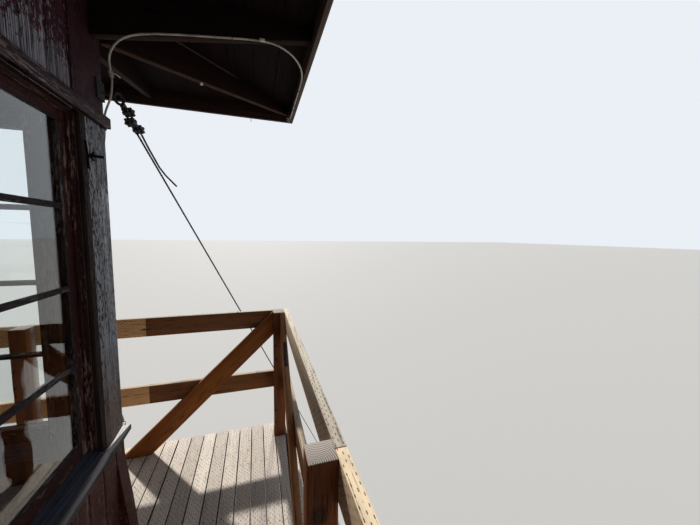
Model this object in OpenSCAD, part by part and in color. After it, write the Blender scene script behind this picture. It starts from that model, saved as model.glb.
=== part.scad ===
// Flat-roofed fire lookout: a square cab with windows all round and a railed
// catwalk, standing on a low braced timber tower that four corner guys hold.
// Millimetres. +X is east, +Y is north, +Z is up, and the origin lies on the
// ground under the middle of the cab. Heights named _above_deck start at the
// walking surface.

/* [Tower] */
// Height of the walking surface above the ground
deck_height = 3050; // [2700:10:5000]
// Side of the square tower legs
leg_side = 190; // [140:5:240]
// Side of each concrete footing at the ground
footing_side = 560; // [480:10:800]
// Height of each concrete footing
footing_height = 200; // [120:10:350]
// How far each footing draws in on every side by its top
footing_batter = 70; // [0:5:100]
// Width of the two girders that lie on the legs
girder_width = 140; // [90:5:185]
// Depth of the two girders
girder_depth = 285; // [235:5:335]
// Width of the crossed brace boards between the legs
tower_brace_width = 184; // [140:2:235]
// How far the brace ends stay from the leg's top and foot
tower_brace_margin = 90; // [40:5:200]

/* [Lumber] */
// Thickness of joists, rails, brace boards and deck boards
lumber_thickness = 38; // [32:1:50]
// Depth of the floor joists
joist_depth = 184; // [140:2:235]
// Side of the square railing posts
post_side = 89; // [80:1:100]
// Depth of the rails and of the railing's slanted braces
rail_depth = 140; // [115:1:160]

/* [Catwalk] */
// Width of the deck from the siding to its outer edge
catwalk_width = 955; // [900:5:1200]
// Gap between the siding and the deck's inner edge
deck_wall_gap = 16; // [13:1:25]
// Gap between neighbouring decks
deck_seam = 9; // [4:1:12]
// Distance from the siding to the outer face of the railing posts
railing_offset = 855; // [800:5:880]
// Length of the bay beside each corner post, centre to centre
end_bay = 1652; // [1500:2:1750]
// Top of the upper rail above the deck
rail_top_above_deck = 1060; // [900:2:1150]
// Top of the middle rail above the deck
mid_rail_top_above_deck = 532; // [400:1:600]
// Run of each slanted brace along the deck
rail_brace_run = 1116; // [950:2:1200]
// Gap between a post and the deck cut round it
post_clearance = 2; // [1:0.5:5]
// Gap between boards whose ends meet
board_gap = 2; // [1:0.5:4]

/* [Cab] */
// Outside width of the square cab
cab_width = 4572; // [4200:4:5000]
// Thickness of the walls
wall_thickness = 120; // [100:2:160]
// Thickness of the cab's floor
floor_thickness = 38; // [30:1:45]
// Width of the plain board on each side of a corner
corner_board_width = 200; // [160:1:240]
// Width of the posts between the sashes
mullion_width = 90; // [60:2:120]
// Underside of the sill's front edge above the deck
sill_above_deck = 727; // [650:1:900]
// Height of the sill's front edge
sill_edge = 22; // [18:1:30]
// Rise of the sill from its front edge to the sash
sill_rise = 37; // [20:1:44]
// How far the sill stands out from the siding
sill_projection = 34; // [10:1:40]
// Top of the window openings above the deck
head_above_deck = 2156; // [1950:2:2250]
// Height of the drip board over the windows
drip_height = 46; // [30:1:70]
// How far the drip board stands out from the siding
drip_projection = 26; // [8:1:40]
// Height of the wall from the window openings up to the roof boards
upper_wall_height = 560; // [480:2:700]

/* [Sashes] */
// Distance from the siding back to the sash's outer face
sash_setback = 45; // [30:1:60]
// Thickness of the sashes
sash_thickness = 35; // [30:1:45]
// Width of the sash's side and top bars
stile_width = 47; // [35:1:60]
// Height of the sash's bottom bar
bottom_bar_height = 65; // [50:1:80]
// Thickness of the glass
glass_thickness = 6; // [4:1:8]

/* [Roof] */
// Distance from the siding to the outer face of the fascia
overhang = 945; // [700:2:1100]
// Depth of the outriggers at the wall
outrigger_root_depth = 212; // [150:2:260]
// Depth of the diagonal corner outriggers at the wall
corner_outrigger_depth = 197; // [150:1:260]
// Depth of the outriggers at the fascia
outrigger_tip_depth = 58; // [50:2:95]
// Distance from a side's end to its first outrigger
outrigger_inset = 50; // [0:2:120]
// Thickness of the roof boards
roof_board_thickness = 25; // [18:1:35]
// Thickness of the built-up roofing
roofing_thickness = 40; // [20:1:60]
// How far the roofing laps over the fascia
roofing_lap = 10; // [0:1:25]
// Thickness of the fascia
fascia_thickness = 25; // [18:1:35]
// Height of the fascia
fascia_height = 125; // [100:1:160]
// Bays between the outriggers on each side
outrigger_bays = 6; // [4:1:8]

/* [Guys] */
// Diameter of the guy strand
guy_diameter = 10; // [8:1:13]
// Length of strand that turns back from each eye
guy_tail = 430; // [300:10:800]
// Distance from an eye's steel to the first wire clip
first_clip = 38; // [32:1:120]
// Distance between the wire clips on a turned-back strand
clip_pitch = 40; // [34:1:60]
// Distance from the outriggers' underside down to the guys' upper eyes
guy_eye_drop = 192; // [90:2:220]
// Distance east or west from a guy's eye to its anchor
guy_run_x = 1895; // [1700:5:2300]
// Distance north or south from a guy's eye to its anchor
guy_run_y = 3665; // [3500:5:4200]
// Side of each guy's concrete anchor block
anchor_side = 420; // [320:10:600]
// Height of each guy's concrete anchor block
anchor_height = 240; // [160:10:360]
// Diameter of the eye bolts' steel
eye_steel = 12; // [10:1:16]
// Inner diameter of the eyes
eye_bore = 36; // [32:1:44]
// Distance between the eyes at a turnbuckle's ends
turnbuckle_length = 380; // [300:10:450]
// Thickness of the straps that hold the upper eyes
strap_thickness = 6; // [4:1:10]

/* [Bonding cable] */
// Diameter of the grey cable clipped along the eaves
bond_diameter = 11; // [9:1:13]

/* [Hidden] */
$fn = 24;

north = 0;
west = 90;
south = 180;
east = 270;
sides = [north, west, south, east];
cab_half = cab_width / 2;
deck_half = cab_half + catwalk_width;
joist_top = deck_height - lumber_thickness;
joist_bottom = joist_top - joist_depth;
leg_top = joist_bottom - girder_depth;
leg_offset = cab_half - leg_side / 2;

// Railing lines, measured from the middle of the tower
post_face = cab_half + railing_offset;
post_line = post_face - post_side / 2;
side_post = post_line - end_bay;
rail_top = deck_height + rail_top_above_deck;
mid_rail_top = deck_height + mid_rail_top_above_deck;

// Floor joists: one beside each railing post, one under each wall, fillers between
beside_post = (post_side + lumber_thickness) / 2;
wall_joist = cab_half - lumber_thickness / 2;
post_joist = side_post - beside_post;
outer_joist = post_line - beside_post;
joist_places = [-outer_joist, -wall_joist, -(wall_joist + post_joist) / 2, -post_joist,
    (beside_post - post_joist) / 2, beside_post, (beside_post + post_joist) / 2,
    post_joist, (wall_joist + post_joist) / 2, wall_joist, outer_joist];

// Window band
sill_front = cab_half + sill_projection;
sill_back = cab_half - sash_setback - sash_thickness;
sill_bottom = deck_height + sill_above_deck;
opening_bottom = sill_bottom + sill_edge + sill_rise;
opening_top = deck_height + head_above_deck;
band_half = cab_half - corner_board_width;
window_count = 4;
window_width = (2 * band_half - (window_count - 1) * mullion_width) / window_count;
window_pitch = window_width + mullion_width;
sash_front = cab_half - sash_setback;

// Roof
soffit_above_deck = head_above_deck + upper_wall_height;
soffit = deck_height + soffit_above_deck;
roof_top_of_boards = soffit + roof_board_thickness;
eave_half = cab_half + overhang;
inner_eave_half = eave_half - fascia_thickness;
outrigger_pitch = (cab_width - lumber_thickness - 2 * outrigger_inset) / outrigger_bays;

// Guys: a straight line from an eye on the cab's corner to an eye on the anchor
eye_mean = (eye_bore + eye_steel) / 2;
eye_reach = eye_bore / 2 + eye_steel;
eye_shank = 0.8 * eye_steel;
eye_standoff = 45;
seat = 0.3;
strap_height = 80;
strap_leg = 60;
turnbuckle_rod = guy_diameter;
boss_height = 14;
boss_rim = 4;
clip_rim = 5;
strand_offset = (eye_steel + guy_diameter) / 2 + seat;
guy_eye_above_deck = soffit_above_deck - outrigger_root_depth - guy_eye_drop;
guy_top = [cab_half + eye_standoff, cab_half + eye_standoff,
    deck_height + guy_eye_above_deck];
guy_foot = [guy_top[0] + guy_run_x, guy_top[1] + guy_run_y, anchor_height + eye_reach];
guy_run = guy_foot - guy_top;
guy_length = norm(guy_run);
guy_lean = acos(guy_run[2] / guy_length);
guy_heading = atan2(guy_run[1], guy_run[0]);
clip_width = 2 * strand_offset + guy_diameter + 2 * clip_rim;
clip_depth = guy_diameter + 2 * clip_rim;
clip_height = 18;
boss_width = 2 * strand_offset + turnbuckle_rod + 2 * boss_rim;
// Lower end of the strand: the eye at the turnbuckle's upper end
strand_end = guy_length - turnbuckle_length;

module on_side(turn) rotate([0, 0, turn]) children();
module on_all_sides() for (turn = sides) on_side(turn) children();
module in_all_corners() for (x = [0, 1], y = [0, 1])
    mirror([x, 0, 0]) mirror([0, y, 0]) children();

// A box given by its lowest and highest corner
module box(low, high) translate(low) cube(high - low);

// Timber tower
module footings() color("gainsboro") for (sx = [-1, 1], sy = [-1, 1])
    translate([sx * leg_offset, sy * leg_offset, 0]) intersection() {
        footing_slab();
        rotate([0, 0, 90]) footing_slab();
    }

module footing_slab() rotate([90, 0, 0])
    linear_extrude(footing_side, center = true) polygon([
        [-footing_side / 2, 0], [footing_side / 2, 0],
        [footing_side / 2 - footing_batter, footing_height],
        [footing_batter - footing_side / 2, footing_height]]);

module legs() color("saddlebrown") for (sx = [-1, 1], sy = [-1, 1])
    translate([sx * leg_offset - leg_side / 2, sy * leg_offset - leg_side / 2,
        footing_height]) cube([leg_side, leg_side, leg_top - footing_height]);

// Each side has one board on the legs' outer faces and one on their inner faces
module tower_braces() color("peru") on_all_sides() {
    tower_brace_board(cab_half, 1);
    tower_brace_board(cab_half - leg_side - lumber_thickness, -1);
}

module tower_brace_board(back, rise) {
    low = footing_height + tower_brace_margin;
    high = leg_top - tower_brace_margin;
    width_up = tower_brace_width / cos(atan2(high - low, cab_width));
    end = cab_half - board_gap;
    translate([0, back + lumber_thickness, 0]) rotate([90, 0, 0])
        linear_extrude(lumber_thickness) scale([rise, 1]) polygon([
            [-end, low], [-end, low + width_up], [end, high], [end, high - width_up]]);
}

module girders() color("peru") for (sx = [-1, 1])
    translate([sx * leg_offset, 0, leg_top + girder_depth / 2])
        cube([girder_width, 2 * deck_half - 2 * lumber_thickness, girder_depth],
            center = true);

module floor_joists() color("peru") for (y = joist_places)
    translate([0, y, joist_bottom + joist_depth / 2])
        cube([2 * (deck_half - lumber_thickness), lumber_thickness, joist_depth],
            center = true);

module rim_boards() color("burlywood") on_all_sides()
    box([lumber_thickness + board_gap - deck_half, deck_half - lumber_thickness,
            joist_bottom],
        [deck_half, deck_half, joist_top]);

// Catwalk
module deck_board_cuts() for (turn = sides) on_side(turn)
    for (x = [-post_line, -side_post, 0, side_post])
        translate([x, post_line, joist_top + lumber_thickness / 2])
            cube([post_side + 2 * post_clearance, post_side + 2 * post_clearance,
                lumber_thickness + 2], center = true);

module long_deck() color("wheat") difference() {
    box([-deck_half, cab_half + deck_wall_gap, joist_top],
        [deck_half, deck_half, deck_height]);
    deck_board_cuts();
}

module short_deck() color("wheat") difference() {
    box([deck_seam - cab_half - deck_wall_gap, cab_half + deck_wall_gap, joist_top],
        [cab_half + deck_wall_gap - deck_seam, deck_half, deck_height]);
    deck_board_cuts();
}

module deck_north() on_side(north) short_deck();
module deck_east() on_side(east) long_deck();
module deck_south() on_side(south) short_deck();
module deck_west() on_side(west) long_deck();

// Railing
module railing_posts() color("sandybrown")
    for (x = [-post_line, -side_post, 0, side_post])
        translate([x - post_side / 2, post_face - post_side, joist_bottom])
            cube([post_side, post_side, rail_top - joist_bottom]);

module railing_posts_north() on_side(north) railing_posts();
module railing_posts_east() on_side(east) railing_posts();
module railing_posts_south() on_side(south) railing_posts();
module railing_posts_west() on_side(west) railing_posts();

// A rail in three lengths, spliced on the side posts
module rail(top) {
    starts = [-post_face - lumber_thickness, board_gap / 2 - side_post,
        side_post + board_gap / 2];
    ends = [-side_post - board_gap / 2, side_post - board_gap / 2,
        post_face - board_gap];
    for (i = [0:2]) box([starts[i], post_face, top - rail_depth],
        [ends[i], post_face + lumber_thickness, top]);
}

module top_rail() color("burlywood") rail(rail_top);
module top_rail_north() on_side(north) top_rail();
module top_rail_east() on_side(east) top_rail();
module top_rail_south() on_side(south) top_rail();
module top_rail_west() on_side(west) top_rail();
module mid_rails() color("sandybrown") on_all_sides() rail(mid_rail_top);

// Slanted boards in the end bays, between the posts and against the rails
module railing_braces() color("chocolate") on_all_sides() for (end = [-1, 1]) {
    post_side_face = post_line - post_side / 2;
    slope = atan2(rail_top_above_deck, rail_brace_run);
    translate([0, post_face, deck_height]) rotate([90, 0, 0])
        linear_extrude(lumber_thickness) scale([end, 1]) polygon([
            [post_side_face, rail_top_above_deck],
            [post_side_face - rail_brace_run, 0],
            [post_side_face - rail_brace_run + rail_depth / sin(slope), 0],
            [post_side_face, rail_top_above_deck - rail_depth / cos(slope)]]);
}

// Cab
module cab_floor() color("tan")
    translate([-cab_half, -cab_half, deck_height - floor_thickness])
        cube([cab_width, cab_width, floor_thickness]);

// The walls chase each other round the corners
module wall_run(bottom, top) box([-cab_half, cab_half - wall_thickness, bottom],
    [cab_half - wall_thickness, cab_half, top]);

module lower_wall() color("maroon") wall_run(deck_height, sill_bottom);
module lower_wall_north() on_side(north) lower_wall();
module lower_wall_east() on_side(east) lower_wall();
module lower_wall_south() on_side(south) lower_wall();
module lower_wall_west() on_side(west) lower_wall();

module upper_wall() color("maroon") wall_run(opening_top, soffit);
module upper_wall_north() on_side(north) upper_wall();
module upper_wall_east() on_side(east) upper_wall();
module upper_wall_south() on_side(south) upper_wall();
module upper_wall_west() on_side(west) upper_wall();

// Corner posts faced with boards, seen between the sill and the drip board
module corner_boards() color("slategray") on_all_sides()
    translate([0, 0, sill_bottom]) linear_extrude(opening_top - sill_bottom)
        polygon([[band_half, cab_half], [cab_half, cab_half], [cab_half, band_half],
            [cab_half - wall_thickness, band_half],
            [cab_half - wall_thickness, cab_half - wall_thickness],
            [band_half, cab_half - wall_thickness]]);

function window_left(i) = -band_half + i * window_pitch;

module window_mullions() color("maroon") on_all_sides()
    for (i = [1:window_count - 1])
        box([window_left(i) - mullion_width, cab_half - wall_thickness, opening_bottom],
            [window_left(i), cab_half, opening_top]);

module sashes() color("maroon") for (i = [0:window_count - 1]) difference() {
    box([window_left(i), sash_front - sash_thickness, opening_bottom],
        [window_left(i) + window_width, sash_front, opening_top]);
    box([window_left(i) + stile_width, sash_front - sash_thickness - 1,
            opening_bottom + bottom_bar_height],
        [window_left(i) + window_width - stile_width, sash_front + 1,
            opening_top - stile_width]);
}

module sashes_north() on_side(north) sashes();
module sashes_east() on_side(east) sashes();
module sashes_south() on_side(south) sashes();
module sashes_west() on_side(west) sashes();

module window_glass() color([0.6, 0.7, 0.75, 0.4]) on_all_sides()
    for (i = [0:window_count - 1])
        box([window_left(i) + stile_width,
                sash_front - (sash_thickness + glass_thickness) / 2,
                opening_bottom + bottom_bar_height],
            [window_left(i) + window_width - stile_width,
                sash_front - (sash_thickness - glass_thickness) / 2,
                opening_top - stile_width]);

// The sills slope out and end against the corner boards behind, flush at the corner
module window_sills() color("lightsteelblue") on_all_sides() {
    translate([-band_half, 0, 0]) rotate([90, 0, 90]) linear_extrude(2 * band_half)
        polygon([[cab_half - wall_thickness, sill_bottom], [sill_front, sill_bottom],
            [sill_front, sill_bottom + sill_edge], [sill_back, opening_bottom],
            [cab_half - wall_thickness, opening_bottom]]);
    for (end = [-cab_half, band_half])
        box([end, cab_half, sill_bottom],
            [end + corner_board_width, sill_front, sill_bottom + sill_edge]);
}

module drip_boards() color("rosybrown") on_all_sides()
    box([-cab_half, cab_half, opening_top],
        [cab_half, cab_half + drip_projection, opening_top + drip_height]);

// Roof
module roof_boards() color("saddlebrown")
    translate([-inner_eave_half, -inner_eave_half, soffit])
        cube([2 * inner_eave_half, 2 * inner_eave_half, roof_board_thickness]);

module roofing() color("dimgray") translate([0, 0, roof_top_of_boards])
    linear_extrude(roofing_thickness) square(2 * (eave_half + roofing_lap), center = true);

module fascia() color("saddlebrown") on_all_sides()
    box([board_gap - inner_eave_half, inner_eave_half,
            roof_top_of_boards - fascia_height],
        [eave_half, eave_half, roof_top_of_boards]);

// Side view of an outrigger from the given root and depth there out to its tip
module outrigger_profile(root, depth, tip) polygon([[root, soffit - depth],
    [tip, soffit - outrigger_tip_depth], [tip, soffit], [root, soffit]]);

module roof_outriggers() color("saddlebrown") on_all_sides()
    for (i = [0:outrigger_bays])
        translate([outrigger_inset + i * outrigger_pitch - cab_half, 0, 0])
            rotate([90, 0, 90]) linear_extrude(lumber_thickness)
                outrigger_profile(cab_half, outrigger_root_depth, inner_eave_half);

module corner_outriggers() color("saddlebrown") on_all_sides() {
    clear = 1;
    intersection() {
        rotate([0, 0, 45]) translate([0, -lumber_thickness / 2, 0]) rotate([90, 0, 0])
            translate([0, 0, -lumber_thickness]) linear_extrude(lumber_thickness)
                outrigger_profile(cab_half * sqrt(2), corner_outrigger_depth,
                    inner_eave_half * sqrt(2));
        box([cab_half + clear, cab_half + clear, 0],
            [inner_eave_half, inner_eave_half, soffit]);
    }
}

// Guys. Each piece is placed by turning +Z on to the guy's own line, from the
// middle of the upper eye
module along_guy() in_all_corners() translate(guy_top)
    rotate([0, guy_lean, guy_heading]) children();

// An eye stands in the upright plane that holds the guy
module eye() rotate([90, 0, 0]) rotate_extrude()
    translate([eye_mean, 0]) circle(d = eye_steel);

// Half a turn of rod round an eye's steel, open towards +Z or -Z
module half_turn(rod, open) rotate([0, -90, 0]) rotate([0, 0, 90 * open])
    rotate_extrude(angle = 180) translate([strand_offset, 0]) circle(d = rod);

module guy_cables() color("dimgray") along_guy() {
    first = eye_mean;
    last = strand_end - eye_mean;
    translate([0, strand_offset, first])
        cylinder(d = guy_diameter, h = last - first);
    translate([0, -strand_offset, first]) cylinder(d = guy_diameter, h = guy_tail);
    translate([0, -strand_offset, last - guy_tail])
        cylinder(d = guy_diameter, h = guy_tail);
    translate([0, 0, first]) half_turn(guy_diameter, 1);
    translate([0, 0, last]) half_turn(guy_diameter, -1);
}

// Three clips hold each turned-back strand
module guy_clips() color("black") along_guy()
    for (i = [0:2], z = [eye_mean + first_clip + i * clip_pitch,
            strand_end - eye_mean - first_clip - i * clip_pitch])
        translate([0, 0, z]) difference() {
            cube([clip_depth, clip_width, clip_height], center = true);
            for (y = [-strand_offset, strand_offset]) translate([0, y, 0])
                cylinder(d = guy_diameter + 2 * seat, h = clip_height + 2,
                    center = true);
        }

// The upper eyes stand on a strap bent round the cab's corner
module guy_eyes() color("dimgray") in_all_corners() {
    translate(guy_top) rotate([0, 0, guy_heading]) eye();
    back = [guy_top[0] - eye_mean * cos(guy_heading),
        guy_top[1] - eye_mean * sin(guy_heading)] - [cab_half, cab_half];
    translate([cab_half, cab_half, guy_top[2]]) {
        rotate([0, 90, atan2(back[1], back[0])])
            cylinder(d = eye_shank, h = norm(back));
        translate([0, 0, -strap_height / 2]) linear_extrude(strap_height) polygon([
            [-strap_leg, 0], [0, 0], [0, -strap_leg], [strap_thickness, -strap_leg],
            [strap_thickness, strap_thickness], [-strap_leg, strap_thickness]]);
    }
}

// Frame of two rods between bosses, an eye above and half a turn of rod below
module guy_turnbuckles() color("dimgray") along_guy() translate([0, 0, strand_end]) {
    top_boss = eye_reach - boss_rim;
    low_boss = turnbuckle_length - eye_mean - 3 * boss_height;
    eye();
    for (z = [top_boss, low_boss]) translate([0, 0, z])
        cylinder(d = boss_width, h = boss_height);
    for (y = [-strand_offset, strand_offset])
        translate([0, y, top_boss + boss_height / 2]) cylinder(d = turnbuckle_rod,
            h = turnbuckle_length - eye_mean - top_boss - boss_height / 2);
    translate([0, 0, turnbuckle_length - eye_mean]) half_turn(turnbuckle_rod, -1);
}

module guy_anchors() color("gainsboro") in_all_corners()
    translate([guy_foot[0], guy_foot[1], anchor_height / 2])
        cube([anchor_side, anchor_side, anchor_height], center = true);

module anchor_eyes() color("dimgray") in_all_corners() translate(guy_foot) {
    rotate([0, 0, guy_heading]) eye();
    translate([0, 0, -eye_reach]) cylinder(d = 2 * eye_steel, h = eye_steel / 2);
}

// Bonding cable: clipped under the fascia and along the last outrigger, then down
// the corner to its footing. Measured from the cab's corner at deck level
bond_off = bond_diameter / 2 + 0.5;
bond_eave = overhang - fascia_thickness - bond_off;
bond_bead = -12;
bond_side = -outrigger_inset - lumber_thickness - bond_off;
bond_sill = sill_projection + bond_off;
bond_drip = drip_projection + bond_off;
bond_brace = lumber_thickness + bond_off;
bond_floor = joist_bottom - deck_height;
bond_foot = footing_height - deck_height + 1;
bond_route = [
    for (p = [[-2, -39, -1], [-1, -38, -40], [0, -40, -80], [0, -61, -102],
            [0, -121, -108], [0, -271, -108], [0, -441, -108], [0, -581, -108],
            [0, -724, -108], [-13, -805, -108], [-34, -864, -108], [-68, -925, -108],
            [-107, -966, -108]])
        [bond_eave + p[0], bond_eave + p[1], soffit_above_deck + p[2]],
    for (p = [[765, 14, -106], [690, -1, -102], [550, 0, -121], [414, 0, -139],
            [220, 0, -167], [146, 0, -190], [102, 0, -218], [69, 10, -259],
            [51, 34, -289]])
        [p[0], bond_side + p[1], soffit_above_deck + p[2]],
    for (p = [[47, -20, 69], [39, -4, 33], [29, 6, -15]])
        [p[0], p[1], guy_eye_above_deck + p[2]],
    for (p = [[8, 24, 112], [-4, 30, 88], [bond_bead, bond_drip, 56],
            [bond_bead, bond_drip, -12], [bond_bead, 18, -50],
            [bond_bead, bond_off, -92]])
        [p[0], p[1], head_above_deck + p[2]],
    [bond_bead, bond_off, (head_above_deck + sill_above_deck) / 2],
    for (p = [[bond_off, 108], [bond_off + 8, 72], [bond_sill, 34], [bond_sill, -12],
            [bond_off + 8, -50], [bond_off, -86]])
        [bond_bead, p[0], sill_above_deck + p[1]],
    [bond_bead, bond_off, sill_above_deck / 2],
    for (p = [[bond_off, -8], [bond_off + 8, -58], [bond_brace - 10, -128],
            [bond_brace, -198]])
        [bond_bead, p[0], bond_floor + p[1]],
    [bond_bead, bond_brace, bond_foot / 2],
    [bond_bead, bond_brace, bond_foot]];

module bonding_cable() color("silver")
    translate([cab_half, cab_half, deck_height]) tube(bond_route, bond_diameter / 2);

function direction(v) = v / norm(v);
function heading_at(path, i) = direction(path[min(i + 1, len(path) - 1)]
    - path[max(i - 1, 0)]);
function carried(side_axis, ahead) = direction(side_axis - (side_axis * ahead) * ahead);
function side_axes(path, i = 0, last = [0, 0, 1]) = i == len(path) ? [] :
    let (axis = carried(last, heading_at(path, i))) concat([axis],
        side_axes(path, i + 1, axis));

// A tube of eight sides swept along a route
module tube(path, radius) {
    n = 8;
    count = len(path);
    axes = side_axes(path);
    points = [for (i = [0:count - 1]) let (a = axes[i], b = cross(heading_at(path, i), a))
        for (k = [0:n - 1]) path[i] + radius * (cos(360 * k / n) * a
            + sin(360 * k / n) * b)];
    walls = [for (i = [0:count - 2]) for (k = [0:n - 1]) let (j = (k + 1) % n)
        [i * n + k, (i + 1) * n + k, (i + 1) * n + j, i * n + j]];
    start = [for (k = [0:n - 1]) k];
    finish = [for (k = [n - 1:-1:0]) (count - 1) * n + k];
    polyhedron(points, concat(walls, [start, finish]));
}

footings();
legs();
tower_braces();
girders();
floor_joists();
rim_boards();
cab_floor();
deck_north();
deck_east();
deck_south();
deck_west();
railing_posts_north();
railing_posts_east();
railing_posts_south();
railing_posts_west();
top_rail_north();
top_rail_east();
top_rail_south();
top_rail_west();
mid_rails();
railing_braces();
lower_wall_north();
lower_wall_east();
lower_wall_south();
lower_wall_west();
upper_wall_north();
upper_wall_east();
upper_wall_south();
upper_wall_west();
corner_boards();
window_mullions();
sashes_north();
sashes_east();
sashes_south();
sashes_west();
window_glass();
window_sills();
drip_boards();
roof_boards();
roofing();
fascia();
roof_outriggers();
corner_outriggers();
guy_cables();
guy_clips();
guy_eyes();
guy_turnbuckles();
guy_anchors();
anchor_eyes();
bonding_cable();
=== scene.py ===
"""Looks of a flat-roofed fire lookout: timber, peeling paint, glass, steel and concrete."""

import logging
import math
from collections.abc import Callable, Iterator, Sequence
from contextlib import contextmanager
from dataclasses import dataclass
from enum import Enum
from functools import lru_cache

import bpy
import numpy as np
from mathutils import Matrix, Vector


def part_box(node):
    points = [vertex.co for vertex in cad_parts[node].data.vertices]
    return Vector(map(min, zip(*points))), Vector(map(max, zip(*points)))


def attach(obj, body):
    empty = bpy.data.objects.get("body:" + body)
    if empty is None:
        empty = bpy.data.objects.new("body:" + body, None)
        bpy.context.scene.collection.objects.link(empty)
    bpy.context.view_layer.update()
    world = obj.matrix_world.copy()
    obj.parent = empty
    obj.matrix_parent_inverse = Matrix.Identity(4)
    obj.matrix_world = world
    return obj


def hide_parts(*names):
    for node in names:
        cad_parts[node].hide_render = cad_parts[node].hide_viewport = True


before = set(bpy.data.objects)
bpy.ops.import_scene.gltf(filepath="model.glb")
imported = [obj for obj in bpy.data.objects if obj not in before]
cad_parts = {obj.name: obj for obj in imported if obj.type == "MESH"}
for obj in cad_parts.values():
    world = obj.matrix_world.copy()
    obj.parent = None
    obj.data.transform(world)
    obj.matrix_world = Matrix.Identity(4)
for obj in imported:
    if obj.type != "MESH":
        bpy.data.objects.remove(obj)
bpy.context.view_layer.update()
CAB_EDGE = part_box("corner_boards")[1].x
DECK_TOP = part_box("deck_east")[1].z
LOG = logging.getLogger("lookout")

# Gap that keeps two boards from sharing a face
HAIRLINE = 0.0004
# How near a vertex lies to a plane that it is on
NEAR = 1e-4
# How near the loose corners of one vertex lie in a CAD node
MERGED = 1e-5

Piece = bpy.types.Object
Socket = bpy.types.NodeSocket
Colour = tuple[float, float, float]
Place = tuple[float, float, float]


class Side(Enum):
    """A side of the square lookout, with the turn that brings the north side there."""

    NORTH = 0
    WEST = 90
    SOUTH = 180
    EAST = 270

    @property
    def label(self) -> str:
        """The side's name as the frame's nodes end with it."""
        return self.name.lower()

    @property
    def turn(self) -> Matrix:
        """The turn about the middle of the tower."""
        return Matrix.Rotation(math.radians(self.value), 4, "Z")


class Slot(Enum):
    """The material slots."""

    CONCRETE = "concrete"
    TREATED = "treated_timber"
    RAILING = "railing_wood"
    DECK = "deck_wood"
    FLOOR = "floor_wood"
    MAROON = "maroon_wood"
    BARE = "bare_wood"
    SOFFIT = "soffit_wood"
    ROOFING = "roofing"
    GLASS = "glass"
    STEEL = "steel"
    CABLE = "grey_cable"


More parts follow.
